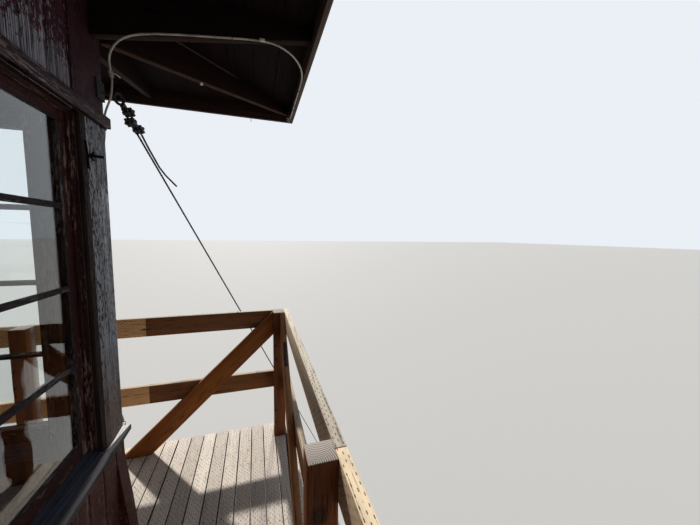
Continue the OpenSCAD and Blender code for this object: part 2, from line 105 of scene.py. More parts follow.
class Shader:
    """The node tree of one finish, with a short method for each step that finishes share."""

    def __init__(self, name: str) -> None:
        """Starts a material that holds a Principled shader and its output.

        Args:
            name: The material's name.
        """
        self.material = bpy.data.materials.new(name)
        self.material.use_nodes = True
        self.tree = self.material.node_tree
        self.surface = self.tree.nodes["Principled BSDF"]

    def node(self, kind: str, inputs: dict | None = None, **settings: object
             ) -> bpy.types.Node:
        """Adds a node, sets its options and then feeds its inputs.

        Args:
            kind: The node's type.
            inputs: Sockets or constants, by the input's name or number.
            settings: Its options, by name.

        Returns:
            The new node.
        """
        made = self.tree.nodes.new(kind)
        for name, value in settings.items():
            setattr(made, name, value)
        for name, value in (inputs or {}).items():
            self.feed(made.inputs[name], value)
        return made

    def feed(self, socket: Socket, value: object) -> None:
        """Links another node's output to a socket, or sets a constant on it.

        Args:
            socket: The input.
            value: The output that it reads, or the constant.
        """
        if isinstance(value, Socket):
            self.tree.links.new(value, socket)
        else:
            socket.default_value = (*value, 1.0) if socket.type == "RGBA" else value

    def finish(self, inputs: dict[str, object], relief: Socket, depth: float,
               strength: float = 1.0) -> bpy.types.Material:
        """Feeds the surface and raises it by its relief.

        Args:
            inputs: Sockets or constants, by the surface's own input names.
            relief: The height field.
            depth: How high the field is, in metres.
            strength: Share of the relief that shows.

        Returns:
            The finished material.
        """
        for name, value in inputs.items():
            self.feed(self.surface.inputs[name], value)
        bump = self.node("ShaderNodeBump", {"Strength": strength, "Distance": depth,
                                            "Height": relief})
        self.feed(self.surface.inputs["Normal"], bump.outputs["Normal"])
        return self.material

    def math(self, operation: str, *values: object) -> Socket:
        """Adds a Math node over sockets or numbers."""
        return self.node("ShaderNodeMath", dict(enumerate(values)), operation=operation).outputs[0]

    def times(self, first: object, second: object) -> Socket:
        """Multiplies two numbers."""
        return self.math("MULTIPLY", first, second)

    def line(self, value: object, slope: object, start: object) -> Socket:
        """Multiplies a number by a slope and adds a start."""
        return self.math("MULTIPLY_ADD", value, slope, start)

    def vector(self, operation: str, *values: object) -> bpy.types.Node:
        """Adds a Vector Math node over sockets or vectors."""
        return self.node("ShaderNodeVectorMath", dict(enumerate(values)), operation=operation)

    def stretched(self, vector: Socket, scale: Place) -> Socket:
        """Multiplies a place by a scale along each axis."""
        return self.vector("MULTIPLY", vector, scale).outputs[0]

    def noise(self, vector: Socket, scale: Place, detail: float = 2.0,
              roughness: float = 0.5) -> Socket:
        """Adds a noise field.

        Args:
            vector: The place that it reads.
            scale: Cycles for each metre along the three axes.
            detail: Finer octaves on top of the first.
            roughness: Strength of the finer octaves.

        Returns:
            The field, from 0 to 1 and about a half on average.
        """
        return self.node("ShaderNodeTexNoise", {
            "Vector": self.stretched(vector, scale), "Scale": 1.0, "Detail": detail,
            "Roughness": roughness}).outputs["Fac"]

    def cells(self, vector: Socket, scale: Place, feature: str = "F1") -> Socket:
        """Adds a field of cells and gives the distance to a cell's middle or edge."""
        inputs = {"Vector": self.stretched(vector, scale), "Scale": 1.0}
        return self.node("ShaderNodeTexVoronoi", inputs, feature=feature).outputs["Distance"]

    def step(self, value: Socket, low: float, high: float) -> Socket:
        """Rises smoothly from 0 to 1 as a value goes from low to high."""
        return self.node("ShaderNodeMapRange", {"Value": value, "From Min": low, "From Max": high},
                         interpolation_type="SMOOTHSTEP").outputs["Result"]

    def mixed(self, factor: Socket, first: object, second: object,
              blend: str = "MIX") -> Socket:
        """Mixes two colours."""
        return self.node("ShaderNodeMix", {"Factor": factor, "A": first, "B": second},
                         data_type="RGBA", blend_type=blend).outputs["Result"]

    def shaded(self, colour: object, level: Socket) -> Socket:
        """Multiplies a colour by a grey level."""
        return self.node("ShaderNodeVectorMath", {0: colour, "Scale": level},
                         operation="SCALE").outputs[0]

    def less(self, level: Socket, field: Socket, share: float) -> Socket:
        """Lowers a grey level by a share of itself where a field is 1."""
        return self.times(level, self.line(field, -share, 1.0))

    def own(self, name: str) -> bpy.types.Node:
        """Reads one of the piece's own attributes."""
        return self.node("ShaderNodeAttribute", attribute_name=name)

    def place(self) -> Socket:
        """The place on the object, in metres."""
        return self.node("ShaderNodeTexCoord").outputs["Object"]

    def split(self, vector: Socket) -> bpy.types.NodeOutputs:
        """Takes a vector apart into X, Y and Z."""
        return self.node("ShaderNodeSeparateXYZ", {0: vector}).outputs

    def height(self) -> Socket:
        """Height over the ground, in metres."""
        return self.split(self.place())["Z"]

    def spans(self) -> tuple[Socket, Socket]:
        """Distances from the tower's middle, to the east or west and to the north or south."""
        place = self.split(self.place())
        return self.math("ABSOLUTE", place["X"]), self.math("ABSOLUTE", place["Y"])

    def normal(self) -> Socket:
        """The way that the surface looks."""
        return self.node("ShaderNodeNewGeometry").outputs["Normal"]

    def upward(self, way: float = 1.0) -> Socket:
        """1 on faces that look up, or down where way is -1, and 0 on the others."""
        rise = self.split(self.normal())["Z"]
        return self.step(self.times(rise, way), 0.4, 0.8)

    def outward(self) -> Socket:
        """1 on faces that look away from the middle of the cab, 0 on the others.

        Returns:
            The field.
        """
        level = self.stretched(self.place(), (1.0, 1.0, 0.0))
        away = self.vector("NORMALIZE", level).outputs[0]
        facing = self.vector("DOT_PRODUCT", away, self.normal())
        return self.step(facing.outputs["Value"], 0.3, 0.6)

    def near_corner(self, start: float, full: float) -> Socket:
        """Rises from 0 to 1 towards a corner of the cab, from one distance to another."""
        return self.step(self.math("MINIMUM", *self.spans()), CAB_EDGE - start, CAB_EDGE - full)

    def near_wall(self, start: float, full: float) -> Socket:
        """Rises from 0 to 1 towards the cab's face, from one distance outside it to another."""
        return self.step(self.math("MAXIMUM", *self.spans()), CAB_EDGE + start, CAB_EDGE + full)

    def tips(self, reach: float, slope: float) -> Socket:
        """1 on wedges on the wall side of the sills' ends, widest at the corners of the cab.

        Args:
            reach: How far a sill stands out past the cab's face.
            slope: How fast a wedge narrows along the sill.

        Returns:
            The field, which is painted sunlight where the sun passes the cab's corners.
        """
        out = self.math("SUBTRACT", self.math("MAXIMUM", *self.spans()), CAB_EDGE)
        back = self.math("SUBTRACT", CAB_EDGE + reach, self.math("MINIMUM", *self.spans()))
        return self.step(self.line(back, slope, out), reach + 0.001, reach - 0.003)


def dimmed(colour: Colour, share: float) -> Colour:
    """Gives a colour at a share of its strength."""
    return tuple(part * share for part in colour)


@dataclass(frozen=True)
class Grain:
    """The fields that run along each board: rings, fibres, streaks, checks and end faces."""

    board: Socket
    tone: Socket
    rings: Socket
    fibres: Socket
    streaks: Socket
    checks: Socket
    end: Socket

    @classmethod
    def on(cls, shader: Shader, ring: float, wander: float = 0.055) -> "Grain":
        """Lays the fields out on the marks that mark_boards left.

        Args:
            shader: The finish that reads them.
            ring: Distance between growth rings, in metres.
            wander: How far the rings wander from round, in metres.

        Returns:
            The fields.
        """
        board = shader.own("grain").outputs["Vector"]
        tone = shader.own("tone").outputs["Fac"]
        sway = shader.noise(board, (0.9, 7.0, 7.0), 2.0)
        shifted = shader.vector("MULTIPLY_ADD", (0.0, wander, wander), sway, board).outputs[0]
        flat = shader.stretched(shifted, (0.0, 1.0, 1.0))
        radius = shader.vector("LENGTH", flat).outputs["Value"]
        wave = shader.math("SINE", shader.times(radius, 2 * math.pi / ring))
        rings = shader.math("POWER", shader.line(wave, 0.5, 0.5), 1.8)
        facing = shader.vector("DOT_PRODUCT", shader.own("along").outputs["Vector"],
                               shader.normal())
        end = shader.step(shader.math("ABSOLUTE", facing.outputs["Value"]), 0.7, 0.85)
        fine = shader.noise(board, (5.0, 260.0, 260.0), 3.0, 0.6)
        side = shader.math("SUBTRACT", 1.0, end)
        fibres = shader.line(fine, side, shader.times(end, 0.45))
        checks = shader.step(shader.noise(board, (7.0, 150.0, 150.0), 4.0, 0.65), 0.58, 0.66)
        return cls(board, tone, rings, fibres, shader.noise(board, (1.1, 24.0, 24.0), 4.0, 0.6),
                   shader.times(checks, side), end)


@dataclass(frozen=True)
class Timber:
    """Bare sawn timber, bleached where the sun strikes it."""

    name: str
    early: Colour
    late: Colour
    bleached: Colour
    side_bleach: float = 0.1
    top_bleach: float = 0.9
    under_paler: float = 0.0
    outer_bleach: float = 0.0
    knots: float = 0.075
    ring: float = 0.006
    checked: float = 0.7
    ringing: float = 0.3
    wander: float = 0.055
    speckled: float = 0.0
    # painted shade: share by which the boards' sides, in the gaps between them, are darkened
    seam: float = 0.0
    slit: float = 0.0
    fresh: Colour | None = None
    # grey level of the painted sunlight on the sills' ends beside the cab's corners
    bare_tips: float = 0.0
    top_line: float = 0.0
    line_fades: tuple[float, float] = (2.86, 2.78)
    line_tint: Colour = (0.080, 0.058, 0.048)
    gloss: float = 0.07
    knot: Place | None = None
    newer: Colour | None = None
    splice: float = 2.134

    def material(self) -> bpy.types.Material:
        """Makes the wood's colours, knots, bleaching and relief.

        Returns:
            The material.
        """
        shader = Shader(self.name)
        grain = Grain.on(shader, self.ring, self.wander)
        share = shader.math("ADD", shader.times(grain.rings, 0.45),
                            shader.times(grain.fibres, 0.5))
        wood = shader.mixed(share, self.early, self.late)
        wood = shader.mixed(shader.step(grain.streaks, 0.35, 0.75), wood, self.late)
        # the middle lengths of the north and south rails take a lighter colour
        if self.newer:
            wood = shader.mixed(self.past_splice(shader), wood,
                                shader.shaded(self.newer, shader.line(share, -0.35, 1.25)))
        if self.knot:
            wood = self.knotted(shader, wood)
        knot = shader.cells(grain.board, (1.7, 9.0, 9.0))
        wood = shader.mixed(shader.step(knot, self.knots, self.knots * 0.5), wood,
                            dimmed(self.late, 0.35))
        blotch = shader.step(grain.streaks, 0.3, 0.62)
        sun = shader.times(shader.upward(), self.top_bleach)
        sun = shader.math("MAXIMUM", sun, shader.times(blotch, self.side_bleach))
        # faces that look down take a share of the paler colour
        if self.under_paler:
            under = shader.times(shader.upward(-1.0), self.under_paler)
            sun = shader.math("MAXIMUM", sun, under)
        if self.outer_bleach:
            outer = shader.times(shader.outward(), self.outer_bleach)
            sun = shader.math("MAXIMUM", sun, outer)
        fibre = shader.step(grain.fibres, 0.25, 0.6)
        sun = shader.times(sun, shader.line(fibre, 0.25, 0.75))
        depth = shader.line(grain.end, self.ringing - 0.8, -self.ringing)
        ringed = shader.line(grain.rings, depth, 1.0)
        bleached = self.bleached
        if self.fresh:
            bleached = shader.mixed(shader.step(grain.tone, 0.50, 0.52), bleached, self.fresh)
        wood = shader.mixed(sun, wood, shader.shaded(bleached, ringed))
        # painted sunlight: pale wedges on the sills' ends where the sun passes the cab's corners
        if self.bare_tips:
            wood = shader.mixed(shader.tips(0.034, 0.13), wood, (self.bare_tips,) * 3)
        if self.top_line:
            edge = shader.step(shader.height(), self.top_line - 0.013, self.top_line - 0.010)
            root = shader.step(shader.spans()[0], *self.line_fades)
            wood = shader.mixed(shader.times(edge, root), wood, self.line_tint)
        level = shader.line(grain.tone, 0.4, 0.8)
        if self.slit:
            level = shader.less(level, self.slits(shader, grain.board), self.slit)
        # painted shade: faces that are neither tops nor ends, as in the gaps between boards, are
        # darkened
        if self.seam:
            shaded_gap_sides = shader.math("SUBTRACT", shader.math("SUBTRACT", 1.0, shader.upward()),
                                grain.end)
            level = shader.less(level, shaded_gap_sides, self.seam)
        if self.speckled:
            specks = shader.step(shader.noise(grain.board, (70.0, 150.0, 150.0), 3.0, 0.7),
                                 0.50, 0.66)
            level = shader.less(level, specks, self.speckled)
        level = shader.less(level, grain.checks, self.checked)
        relief = shader.line(grain.fibres, 0.5,
                             shader.line(grain.rings, 0.3, shader.times(grain.checks, -1.2)))
        return shader.finish({"Base Color": shader.shaded(wood, level),
                              "Specular IOR Level": self.gloss,
                              "Roughness": shader.line(grain.fibres, 0.25, 0.62)}, relief, 0.0009)

    @staticmethod
    def slits(shader: Shader, board: Socket) -> Socket:
        """1 in the short slits pressed into treated timber, in staggered rows.

        Args:
            shader: The finish's nodes.
            board: Places on each board.

        Returns:
            The field.
        """
        place = shader.split(board)
        sway = shader.noise(board, (14.0, 40.0, 40.0), 1.0)
        across = shader.times(shader.math("ADD", place["Y"], place["Z"]), 78.0)
        along = shader.line(sway, 0.5, shader.times(place["X"], 31.0))
        along = shader.line(shader.math("FLOOR", across), 0.5, along)
        reach = shader.math("PINGPONG", along, 0.5)
        width = shader.math("PINGPONG", across, 0.5)
        deep = shader.step(shader.noise(board, (30.0, 70.0, 70.0), 1.0), 0.30, 0.50)
        slit = shader.times(shader.step(reach, 0.31, 0.35), shader.step(width, 0.34, 0.42))
        return shader.times(slit, deep)

    def past_splice(self, shader: Shader) -> Socket:
        """1 on the middle length of the north and south rails, inside a set distance from the
        middle.

        Args:
            shader: The finish's nodes.

        Returns:
            The field.
        """
        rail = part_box("railing_posts_north")[0].y
        x, y = shader.spans()
        across = shader.step(y, rail - 0.02, rail - 0.01)
        inner = shader.step(x, self.splice + 0.0006, self.splice - 0.0006)
        return shader.times(across, inner)

    def knotted(self, shader: Shader, wood: Socket) -> Socket:
        """Lays one large knot with its dark rim over the wood.

        Args:
            shader: The finish's nodes.
            wood: The colour so far.

        Returns:
            The colour.
        """
        offset = shader.vector("SUBTRACT", shader.place(), self.knot).outputs[0]
        reach = shader.vector("LENGTH", shader.stretched(offset, (1.0, 1.0, 0.7)))
        sway = shader.noise(shader.place(), (60.0, 60.0, 60.0), 2.0)
        radius = shader.line(sway, 0.008, reach.outputs["Value"])
        for outer, inner, share in ((0.036, 0.024, 0.9), (0.0215, 0.0200, 0.2),
                                    (0.0165, 0.0150, 0.55), (0.0080, 0.0060, 0.25)):
            wood = shader.mixed(shader.step(radius, outer, inner), wood, dimmed(self.late, share))
        return wood


@dataclass(frozen=True)
class PeelingPaint:
    """Old paint that flakes along the grain and leaves grey weathered wood."""

    name: str
    paint: Colour
    faded: Colour
    pale_wood: Colour
    dark_wood: Colour
    bare: float
    flake: float = 0.5
    patch: float = 1.0
    chip: float = 0.7
    worn_from: float = 0.0
    worn_to: float = 0.0
    fleck: Place = (34.0, 190.0, 190.0)
    gloss: float = 0.07
    # width of the strip beside the window that is kept dark: partly dark paint, partly painted
    # shade
    dark_and_shaded_strip: float = 0.0
    calm_below: float = 0.0
    foot: Colour | None = None
    foot_rises: tuple[float, float] = (4.24, 3.90)
    check: Colour = (0.006, 0.005, 0.006)
    # painted shade on the faces that look down
    underside_shade: Colour = (0.010, 0.007, 0.008)

    def material(self) -> bpy.types.Material:
        """Makes the paint, the wood under it and their relief.

        Returns:
            The material.
        """
        shader = Shader(self.name)
        grain = Grain.on(shader, 0.005)
        patches = shader.noise(grain.board, (1.6, 8.0, 8.0), 3.0, 0.55)
        chips = shader.noise(grain.board, (11.0, 60.0, 60.0), 4.0, 0.65)
        flecks = shader.noise(grain.board, self.fleck, 3.0, 0.6)
        field = shader.times(patches, self.patch)
        field = shader.line(chips, self.chip, field)
        field = shader.line(flecks, self.flake, field)
        middle = 0.5 * (self.patch + self.chip + self.flake) + (self.bare - 0.5) * 0.42
        if self.worn_to:
            worn = shader.step(shader.height(), self.worn_to, self.worn_from)
            field = shader.line(worn, -0.55, field)
        if self.calm_below:
            calm = shader.step(shader.height(), self.calm_below, self.calm_below - 0.35)
            field = shader.line(calm, -0.13, field)
        painted = shader.step(field, middle - 0.02, middle + 0.02)
        fibre = shader.step(grain.fibres, 0.32, 0.66)
        wood = shader.mixed(fibre, self.dark_wood, self.pale_wood)
        wood = shader.mixed(shader.step(grain.streaks, 0.45, 0.8), wood, self.dark_wood)
        wood = shader.mixed(grain.checks, wood, self.check)
        if self.foot:
            low = shader.step(shader.height(), *self.foot_rises)
            wood = shader.mixed(low, wood, self.foot, "MULTIPLY")
        paint = shader.mixed(shader.step(chips, 0.4, 0.7), self.paint, self.faded)
        crack = shader.cells(grain.board, (22.0, 85.0, 85.0), "DISTANCE_TO_EDGE")
        closed = shader.step(crack, 0.01, 0.07)
        paint = shader.shaded(paint, shader.line(closed, 0.6, 0.4))
        colour = shader.mixed(painted, wood, paint)
        # painted shade: where the paint is worn from a height, the faces that look down are
        # darkened to stand in for the shade under them
        if self.worn_from:
            colour = shader.mixed(shader.upward(-1.0), colour, self.underside_shade)
        if self.dark_and_shaded_strip:
            colour = self.beside_window(shader, colour, fibre)
        level = shader.line(grain.tone, 0.3, 0.85)
        relief = shader.line(painted, shader.times(closed, 0.8),
                             shader.line(grain.fibres, 0.4, shader.times(grain.checks, -0.8)))
        return shader.finish({"Base Color": shader.shaded(colour, level),
                              "Specular IOR Level": self.gloss,
                              "Roughness": shader.line(painted, -0.3, 0.85)}, relief, 0.0011)

    def beside_window(self, shader: Shader, colour: Socket, fibre: Socket) -> Socket:
        """Keeps the strip next to the window dark, with a paler line where it meets the post.

        Args:
            shader: The finish's nodes.
            colour: The colour so far.
            fibre: 1 on the pale fibres.

        Returns:
            The colour.
        """
        # the strip beside the window is partly dark paint and partly painted shade
        strip = shader.math("SUBTRACT", 1.0, shader.near_corner(self.dark_and_shaded_strip + 0.002,
                                                                self.dark_and_shaded_strip - 0.002))
        dark = shader.mixed(fibre, (0.010, 0.006, 0.006), (0.040, 0.027, 0.023))
        # painted highlight: the paler line where the board meets the post
        line = shader.near_wall(-0.0170, -0.0180)
        dark = shader.mixed(line, dark, (0.15, 0.13, 0.12))
        return shader.mixed(strip, colour, dark)


@dataclass(frozen=True)
class Concrete:
    """Cast concrete with a blotched, pitted face."""

    name: str
    pale: Colour
    stain: Colour

    def material(self) -> bpy.types.Material:
        """Makes the blotches and the pits.

        Returns:
            The material.
        """
        shader = Shader(self.name)
        place = shader.place()
        blotch = shader.noise(place, (3.0, 3.0, 5.0), 5.0, 0.6)
        grit = shader.noise(place, (90.0, 90.0, 90.0), 3.0, 0.6)
        pits = shader.step(shader.cells(place, (38.0, 38.0, 38.0)), 0.2, 0.08)
        colour = shader.mixed(shader.step(blotch, 0.35, 0.7), self.pale, self.stain)
        level = shader.less(shader.line(grit, 0.35, 0.8), pits, 0.5)
        return shader.finish({"Base Color": shader.shaded(colour, level), "Roughness": 0.9},
                             shader.line(pits, -1.0, grit), 0.002)


@dataclass(frozen=True)
class Felt:
    """Mineral roofing felt, granular and streaked by the weather."""

    name: str
    body: Colour
    dust: Colour

    def material(self) -> bpy.types.Material:
        """Makes the grit and the drifts of dust.

        Returns:
            The material.
        """
        shader = Shader(self.name)
        place = shader.place()
        grit = shader.noise(place, (420.0, 420.0, 420.0), 2.0, 0.6)
        drift = shader.noise(place, (0.8, 1.6, 1.0), 5.0, 0.6)
        colour = shader.mixed(shader.step(drift, 0.4, 0.75), self.body, self.dust)
        level = shader.line(grit, 0.7, 0.65)
        return shader.finish({"Base Color": shader.shaded(colour, level), "Roughness": 0.95},
                             grit, 0.0015)


@dataclass(frozen=True)
class Steel:
    """Dull galvanised steel with rust that starts in blotches."""

    name: str
    body: Colour
    rust: Colour
    rusted: float
    metallic: float = 0.8
    gloss: float = 0.5

    def material(self) -> bpy.types.Material:
        """Makes the dull metal and its spots of rust.

        Returns:
            The material.
        """
        shader = Shader(self.name)
        place = shader.place()
        blotch = shader.noise(place, (55.0, 55.0, 55.0), 4.0, 0.65)
        spots = shader.step(blotch, 0.75 - self.rusted, 0.8 - self.rusted)
        grit = shader.noise(place, (600.0, 600.0, 600.0), 2.0)
        colour = shader.mixed(spots, self.body, self.rust)
        level = shader.line(grit, 0.5, 0.75)
        return shader.finish({"Base Color": shader.shaded(colour, level),
                              "Metallic": self.metallic, "Specular IOR Level": self.gloss,
                              "Roughness": shader.line(spots, 0.3, 0.5)}, grit, 0.0003)


@dataclass(frozen=True)
class Sheath:
    """The grey woven sheath of the bonding cable, dulled by dust."""

    name: str
    body: Colour
    dust: Colour

    def material(self) -> bpy.types.Material:
        """Makes the weave and the dirt on it.

        Returns:
            The material.
        """
        shader = Shader(self.name)
        place = shader.place()
        dirt = shader.noise(place, (16.0, 16.0, 16.0), 4.0, 0.6)
        weave = shader.cells(place, (420.0, 420.0, 420.0))
        colour = shader.mixed(shader.step(dirt, 0.4, 0.7), self.body, self.dust)
        level = shader.line(weave, 0.3, 0.75)
        return shader.finish({"Base Color": shader.shaded(colour, level), "Roughness": 0.75},
                             weave, 0.0006)


@dataclass(frozen=True)
class OldGlass:
    """Clear drawn glass with a slight wave and a film of dust."""

    name: str
    tint: Colour

    def material(self) -> bpy.types.Material:
        """Makes the wave and the film of dust.

        Returns:
            The material.
        """
        shader = Shader(self.name)
        place = shader.place()
        wave = shader.noise(place, (2.2, 2.2, 5.0), 2.0)
        film = shader.noise(place, (7.0, 7.0, 3.0), 5.0, 0.65)
        dulled = shader.times(shader.step(film, 0.5, 0.9), 0.06)
        return shader.finish({"Base Color": self.tint, "Transmission Weight": 1.0, "IOR": 1.5,
                              "Specular IOR Level": 0.18, "Roughness": dulled},
                             wave, 0.004, 0.25)


Finish = Timber | PeelingPaint | Concrete | Felt | Steel | Sheath | OldGlass

PLANED_FIR = Timber("planed_fir", (0.46, 0.190, 0.066), (0.19, 0.066, 0.020), (0.80, 0.70, 0.55),
                    side_bleach=0.05, outer_bleach=0.7, newer=(0.94, 0.55, 0.25))
BRACE_FIR = Timber("brace_fir", (0.46, 0.165, 0.042), (0.21, 0.062, 0.014), (0.62, 0.42, 0.26),
                   side_bleach=0.05, top_bleach=0.5, outer_bleach=0.7)
POST_FIR = Timber("post_fir", (0.29, 0.092, 0.023), (0.100, 0.026, 0.007), (0.66, 0.63, 0.58),
                  side_bleach=0.04, outer_bleach=0.7, knots=0.05, ring=0.0065, ringing=0.2,
                  wander=0.018, knot=(3.083, 1.400, 3.949))
RAIL_CAP = Timber("rail_cap", (0.42, 0.170, 0.064), (0.18, 0.062, 0.022), (0.88, 0.79, 0.64),
                  side_bleach=0.05, top_bleach=1.0, outer_bleach=0.7, knots=0.09, checked=0.6,
                  ringing=0.15, slit=0.7, newer=(0.94, 0.55, 0.25))
# Partly sun-bleaching and partly painted light: the east and west top rails are far paler than the
# north and south ones, most of all on their sides, to stand in for the light on their inner faces.
BLEACHED_AND_LIT_SIDE_RAIL_CAP = Timber("side_rail_cap", (0.78, 0.55, 0.36), (0.52, 0.33, 0.19), (0.88, 0.80, 0.66),
                       side_bleach=0.5, top_bleach=1.0, outer_bleach=0.7, knots=0.09, checked=0.5,
                       ringing=0.15, slit=0.85, fresh=(0.86, 0.70, 0.50))
# the deck boards' darkened sides are painted shade in the gaps
DECK_BOARDS = Timber("deck_boards", (0.66, 0.57, 0.48), (0.57, 0.47, 0.38), (0.80, 0.73, 0.65),
                     side_bleach=0.3, top_bleach=0.85, knots=0.045, checked=0.25, ringing=0.10,
                     speckled=0.25, seam=0.9, slit=0.75)
TOWER_TIMBER = Timber("tower_timber", (0.20, 0.115, 0.06), (0.085, 0.045, 0.024),
                      (0.34, 0.29, 0.23), side_bleach=0.25, ring=0.008)
FLOOR_BOARDS = Timber("floor_boards", (0.20, 0.13, 0.075), (0.11, 0.065, 0.035),
                      (0.25, 0.19, 0.13), top_bleach=0.4)
LINING = Timber("inner_lining", (0.060, 0.026, 0.015), (0.030, 0.011, 0.007), (0.10, 0.06, 0.04),
                top_bleach=0.2, gloss=0.1)
# Partly dark stain and partly painted shade: the soffit and the outriggers are darker than their
# stain, for the shade under the eave.
SOFFIT = Timber("soffit_stain_and_shade", (0.0120, 0.0058, 0.0048), (0.0050, 0.0024, 0.0020),
                (0.018, 0.009, 0.007), top_bleach=0.2, knots=0.02, gloss=0.04)
OUTRIGGER = Timber("outrigger_stain", (0.0120, 0.0058, 0.0048), (0.0050, 0.0024, 0.0020),
                   (0.048, 0.027, 0.020), top_bleach=0.2, under_paler=0.35, knots=0.02,
                   gloss=0.04)
CORNER_JOIST = Timber("corner_outrigger_wood", (0.0150, 0.0066, 0.0052), (0.0065, 0.0028, 0.0022),
                      (0.046, 0.023, 0.016), top_bleach=0.2, under_paler=0.9, gloss=0.04,
                      top_line=5.766)
EAVE_TRIM = Timber("eave_trim", (0.030, 0.0110, 0.0080), (0.013, 0.0050, 0.0038),
                   (0.20, 0.15, 0.12), top_bleach=0.6, under_paler=0.4, knots=0.03, gloss=0.06)
SILL_WOOD = Timber("sill_wood", (0.046, 0.053, 0.078), (0.016, 0.018, 0.028),
                   (0.085, 0.094, 0.128), side_bleach=0.6, top_bleach=0.3, knots=0.04, checked=0.9)
# the nosing's pale wedges at the cab's corners are painted sunlight
SILL_NOSE = Timber("sill_nose", (0.068, 0.066, 0.076), (0.026, 0.025, 0.031),
                   (0.125, 0.120, 0.132), side_bleach=0.5, top_bleach=0.45, knots=0.04,
                   checked=0.9, bare_tips=0.86)
# the upper siding's darkened downward faces are painted shade
UPPER_SIDING = PeelingPaint("upper_siding", (0.036, 0.0095, 0.0150), (0.055, 0.018, 0.026),
                            (0.270, 0.262, 0.300), (0.030, 0.024, 0.032), bare=0.10, flake=1.9,
                            patch=0.6, chip=0.5, worn_from=5.26, worn_to=5.46,
                            fleck=(55.0, 110.0, 110.0))
UPPER_CORNER = PeelingPaint("upper_corner", (0.030, 0.0085, 0.0125), (0.046, 0.015, 0.021),
                            (0.130, 0.100, 0.105), (0.030, 0.020, 0.024), bare=0.10, flake=0.6)
LOWER_SIDING = PeelingPaint("lower_siding", (0.050, 0.0125, 0.0100), (0.085, 0.026, 0.019),
                            (0.190, 0.145, 0.130), (0.036, 0.022, 0.019), bare=0.30, flake=0.8)
# Painted light: the pale wood's blue tint stands in for skylight on wood that is grey; the foot
# makes the wood browner and darker towards the bottom.
CORNER_WOOD = PeelingPaint("corner_wood", (0.014, 0.011, 0.012), (0.040, 0.034, 0.036),
                           (0.40, 0.415, 0.46), (0.130, 0.136, 0.155), bare=0.64, flake=1.7,
                           patch=0.35, chip=0.35, fleck=(40.0, 120.0, 120.0), dark_and_shaded_strip=0.163,
                           calm_below=4.50, foot=(0.72, 0.54, 0.42))
TRIM_WOOD = PeelingPaint("trim_wood", (0.020, 0.0080, 0.0100), (0.034, 0.015, 0.018),
                         (0.245, 0.185, 0.195), (0.022, 0.014, 0.017), bare=0.50, flake=1.0,
                         patch=0.6)
SASH_PAINT = PeelingPaint("sash_paint", (0.028, 0.0085, 0.0080), (0.044, 0.015, 0.014),
                          (0.250, 0.165, 0.135), (0.040, 0.022, 0.018), bare=0.27)
# Partly the bars' paint and partly painted shade: the glazing bars are darker than the sashes for
# the shade on them.
BAR_PAINT_AND_SHADE = PeelingPaint("bar_paint_and_shade", (0.016, 0.010, 0.013), (0.030, 0.021, 0.024),
                         (0.130, 0.110, 0.115), (0.030, 0.025, 0.030), bare=0.34, patch=0.5)
PUTTY = PeelingPaint("putty", (0.020, 0.014, 0.015), (0.036, 0.028, 0.028), (0.12, 0.11, 0.11),
                     (0.04, 0.036, 0.038), bare=0.3, flake=0.9)
CAST_CONCRETE = Concrete("cast_concrete", (0.42, 0.40, 0.36), (0.25, 0.235, 0.20))
ROOF_FELT = Felt("roof_felt", (0.055, 0.055, 0.058), (0.14, 0.13, 0.12))
DARK_STEEL = Steel("dark_steel", (0.05, 0.052, 0.058), (0.055, 0.024, 0.012), 0.22)
PIN_IRON = Steel("pin_iron", (0.006, 0.006, 0.008), (0.02, 0.01, 0.006), 0.05, 0.0, 0.0)
EYE_IRON = Steel("eye_iron", (0.014, 0.014, 0.016), (0.03, 0.014, 0.008), 0.2, 0.0, 0.1)
NAIL_STEEL = Steel("nail_steel", (0.035, 0.03, 0.028), (0.05, 0.02, 0.012), 0.3, 0.5)
CABLE_SHEATH = Sheath("cable_sheath", (0.40, 0.37, 0.32), (0.20, 0.17, 0.14))
PALE_TAPE = Sheath("pale_tape", (0.60, 0.55, 0.46), (0.38, 0.32, 0.24))
WINDOW_GLASS = OldGlass("window_glass", (0.93, 0.97, 0.97))


@lru_cache(maxsize=None)
def material_of(finish: Finish) -> bpy.types.Material:
    """Makes the material of a finish the first time that it is asked for."""
    return finish.material()


def pick(*pieces: Piece) -> None:
    """Selects only these pieces and makes the first one active.

    Args:
        pieces: What to select.
    """
    bpy.ops.object.select_all(action="DESELECT")
    for piece in pieces:
        piece.select_set(True)
    bpy.context.view_layer.objects.active = pieces[0]


def settle(piece: Piece) -> Piece:
    """Puts a piece's place, turn and size into its mesh.

    Args:
        piece: The piece.

    Returns:
        The same piece.
    """
    pick(piece)
    bpy.ops.object.transform_apply(location=True, rotation=True, scale=True)
    return piece


def block(name: str, low: Sequence[float], high: Sequence[float]) -> Piece:
    """Adds a cube that fills the box from its lowest to its highest corner.

    Args:
        name: The cube's name.
        low: Its lowest corner.
        high: Its highest corner.

    Returns:
        The cube.
    """
    low, high = Vector(low), Vector(high)
    bpy.ops.object.select_all(action="DESELECT")
    bpy.ops.mesh.primitive_cube_add(size=1, location=(low + high) / 2, scale=high - low)
    piece = bpy.context.object
    piece.name = name
    return settle(piece)


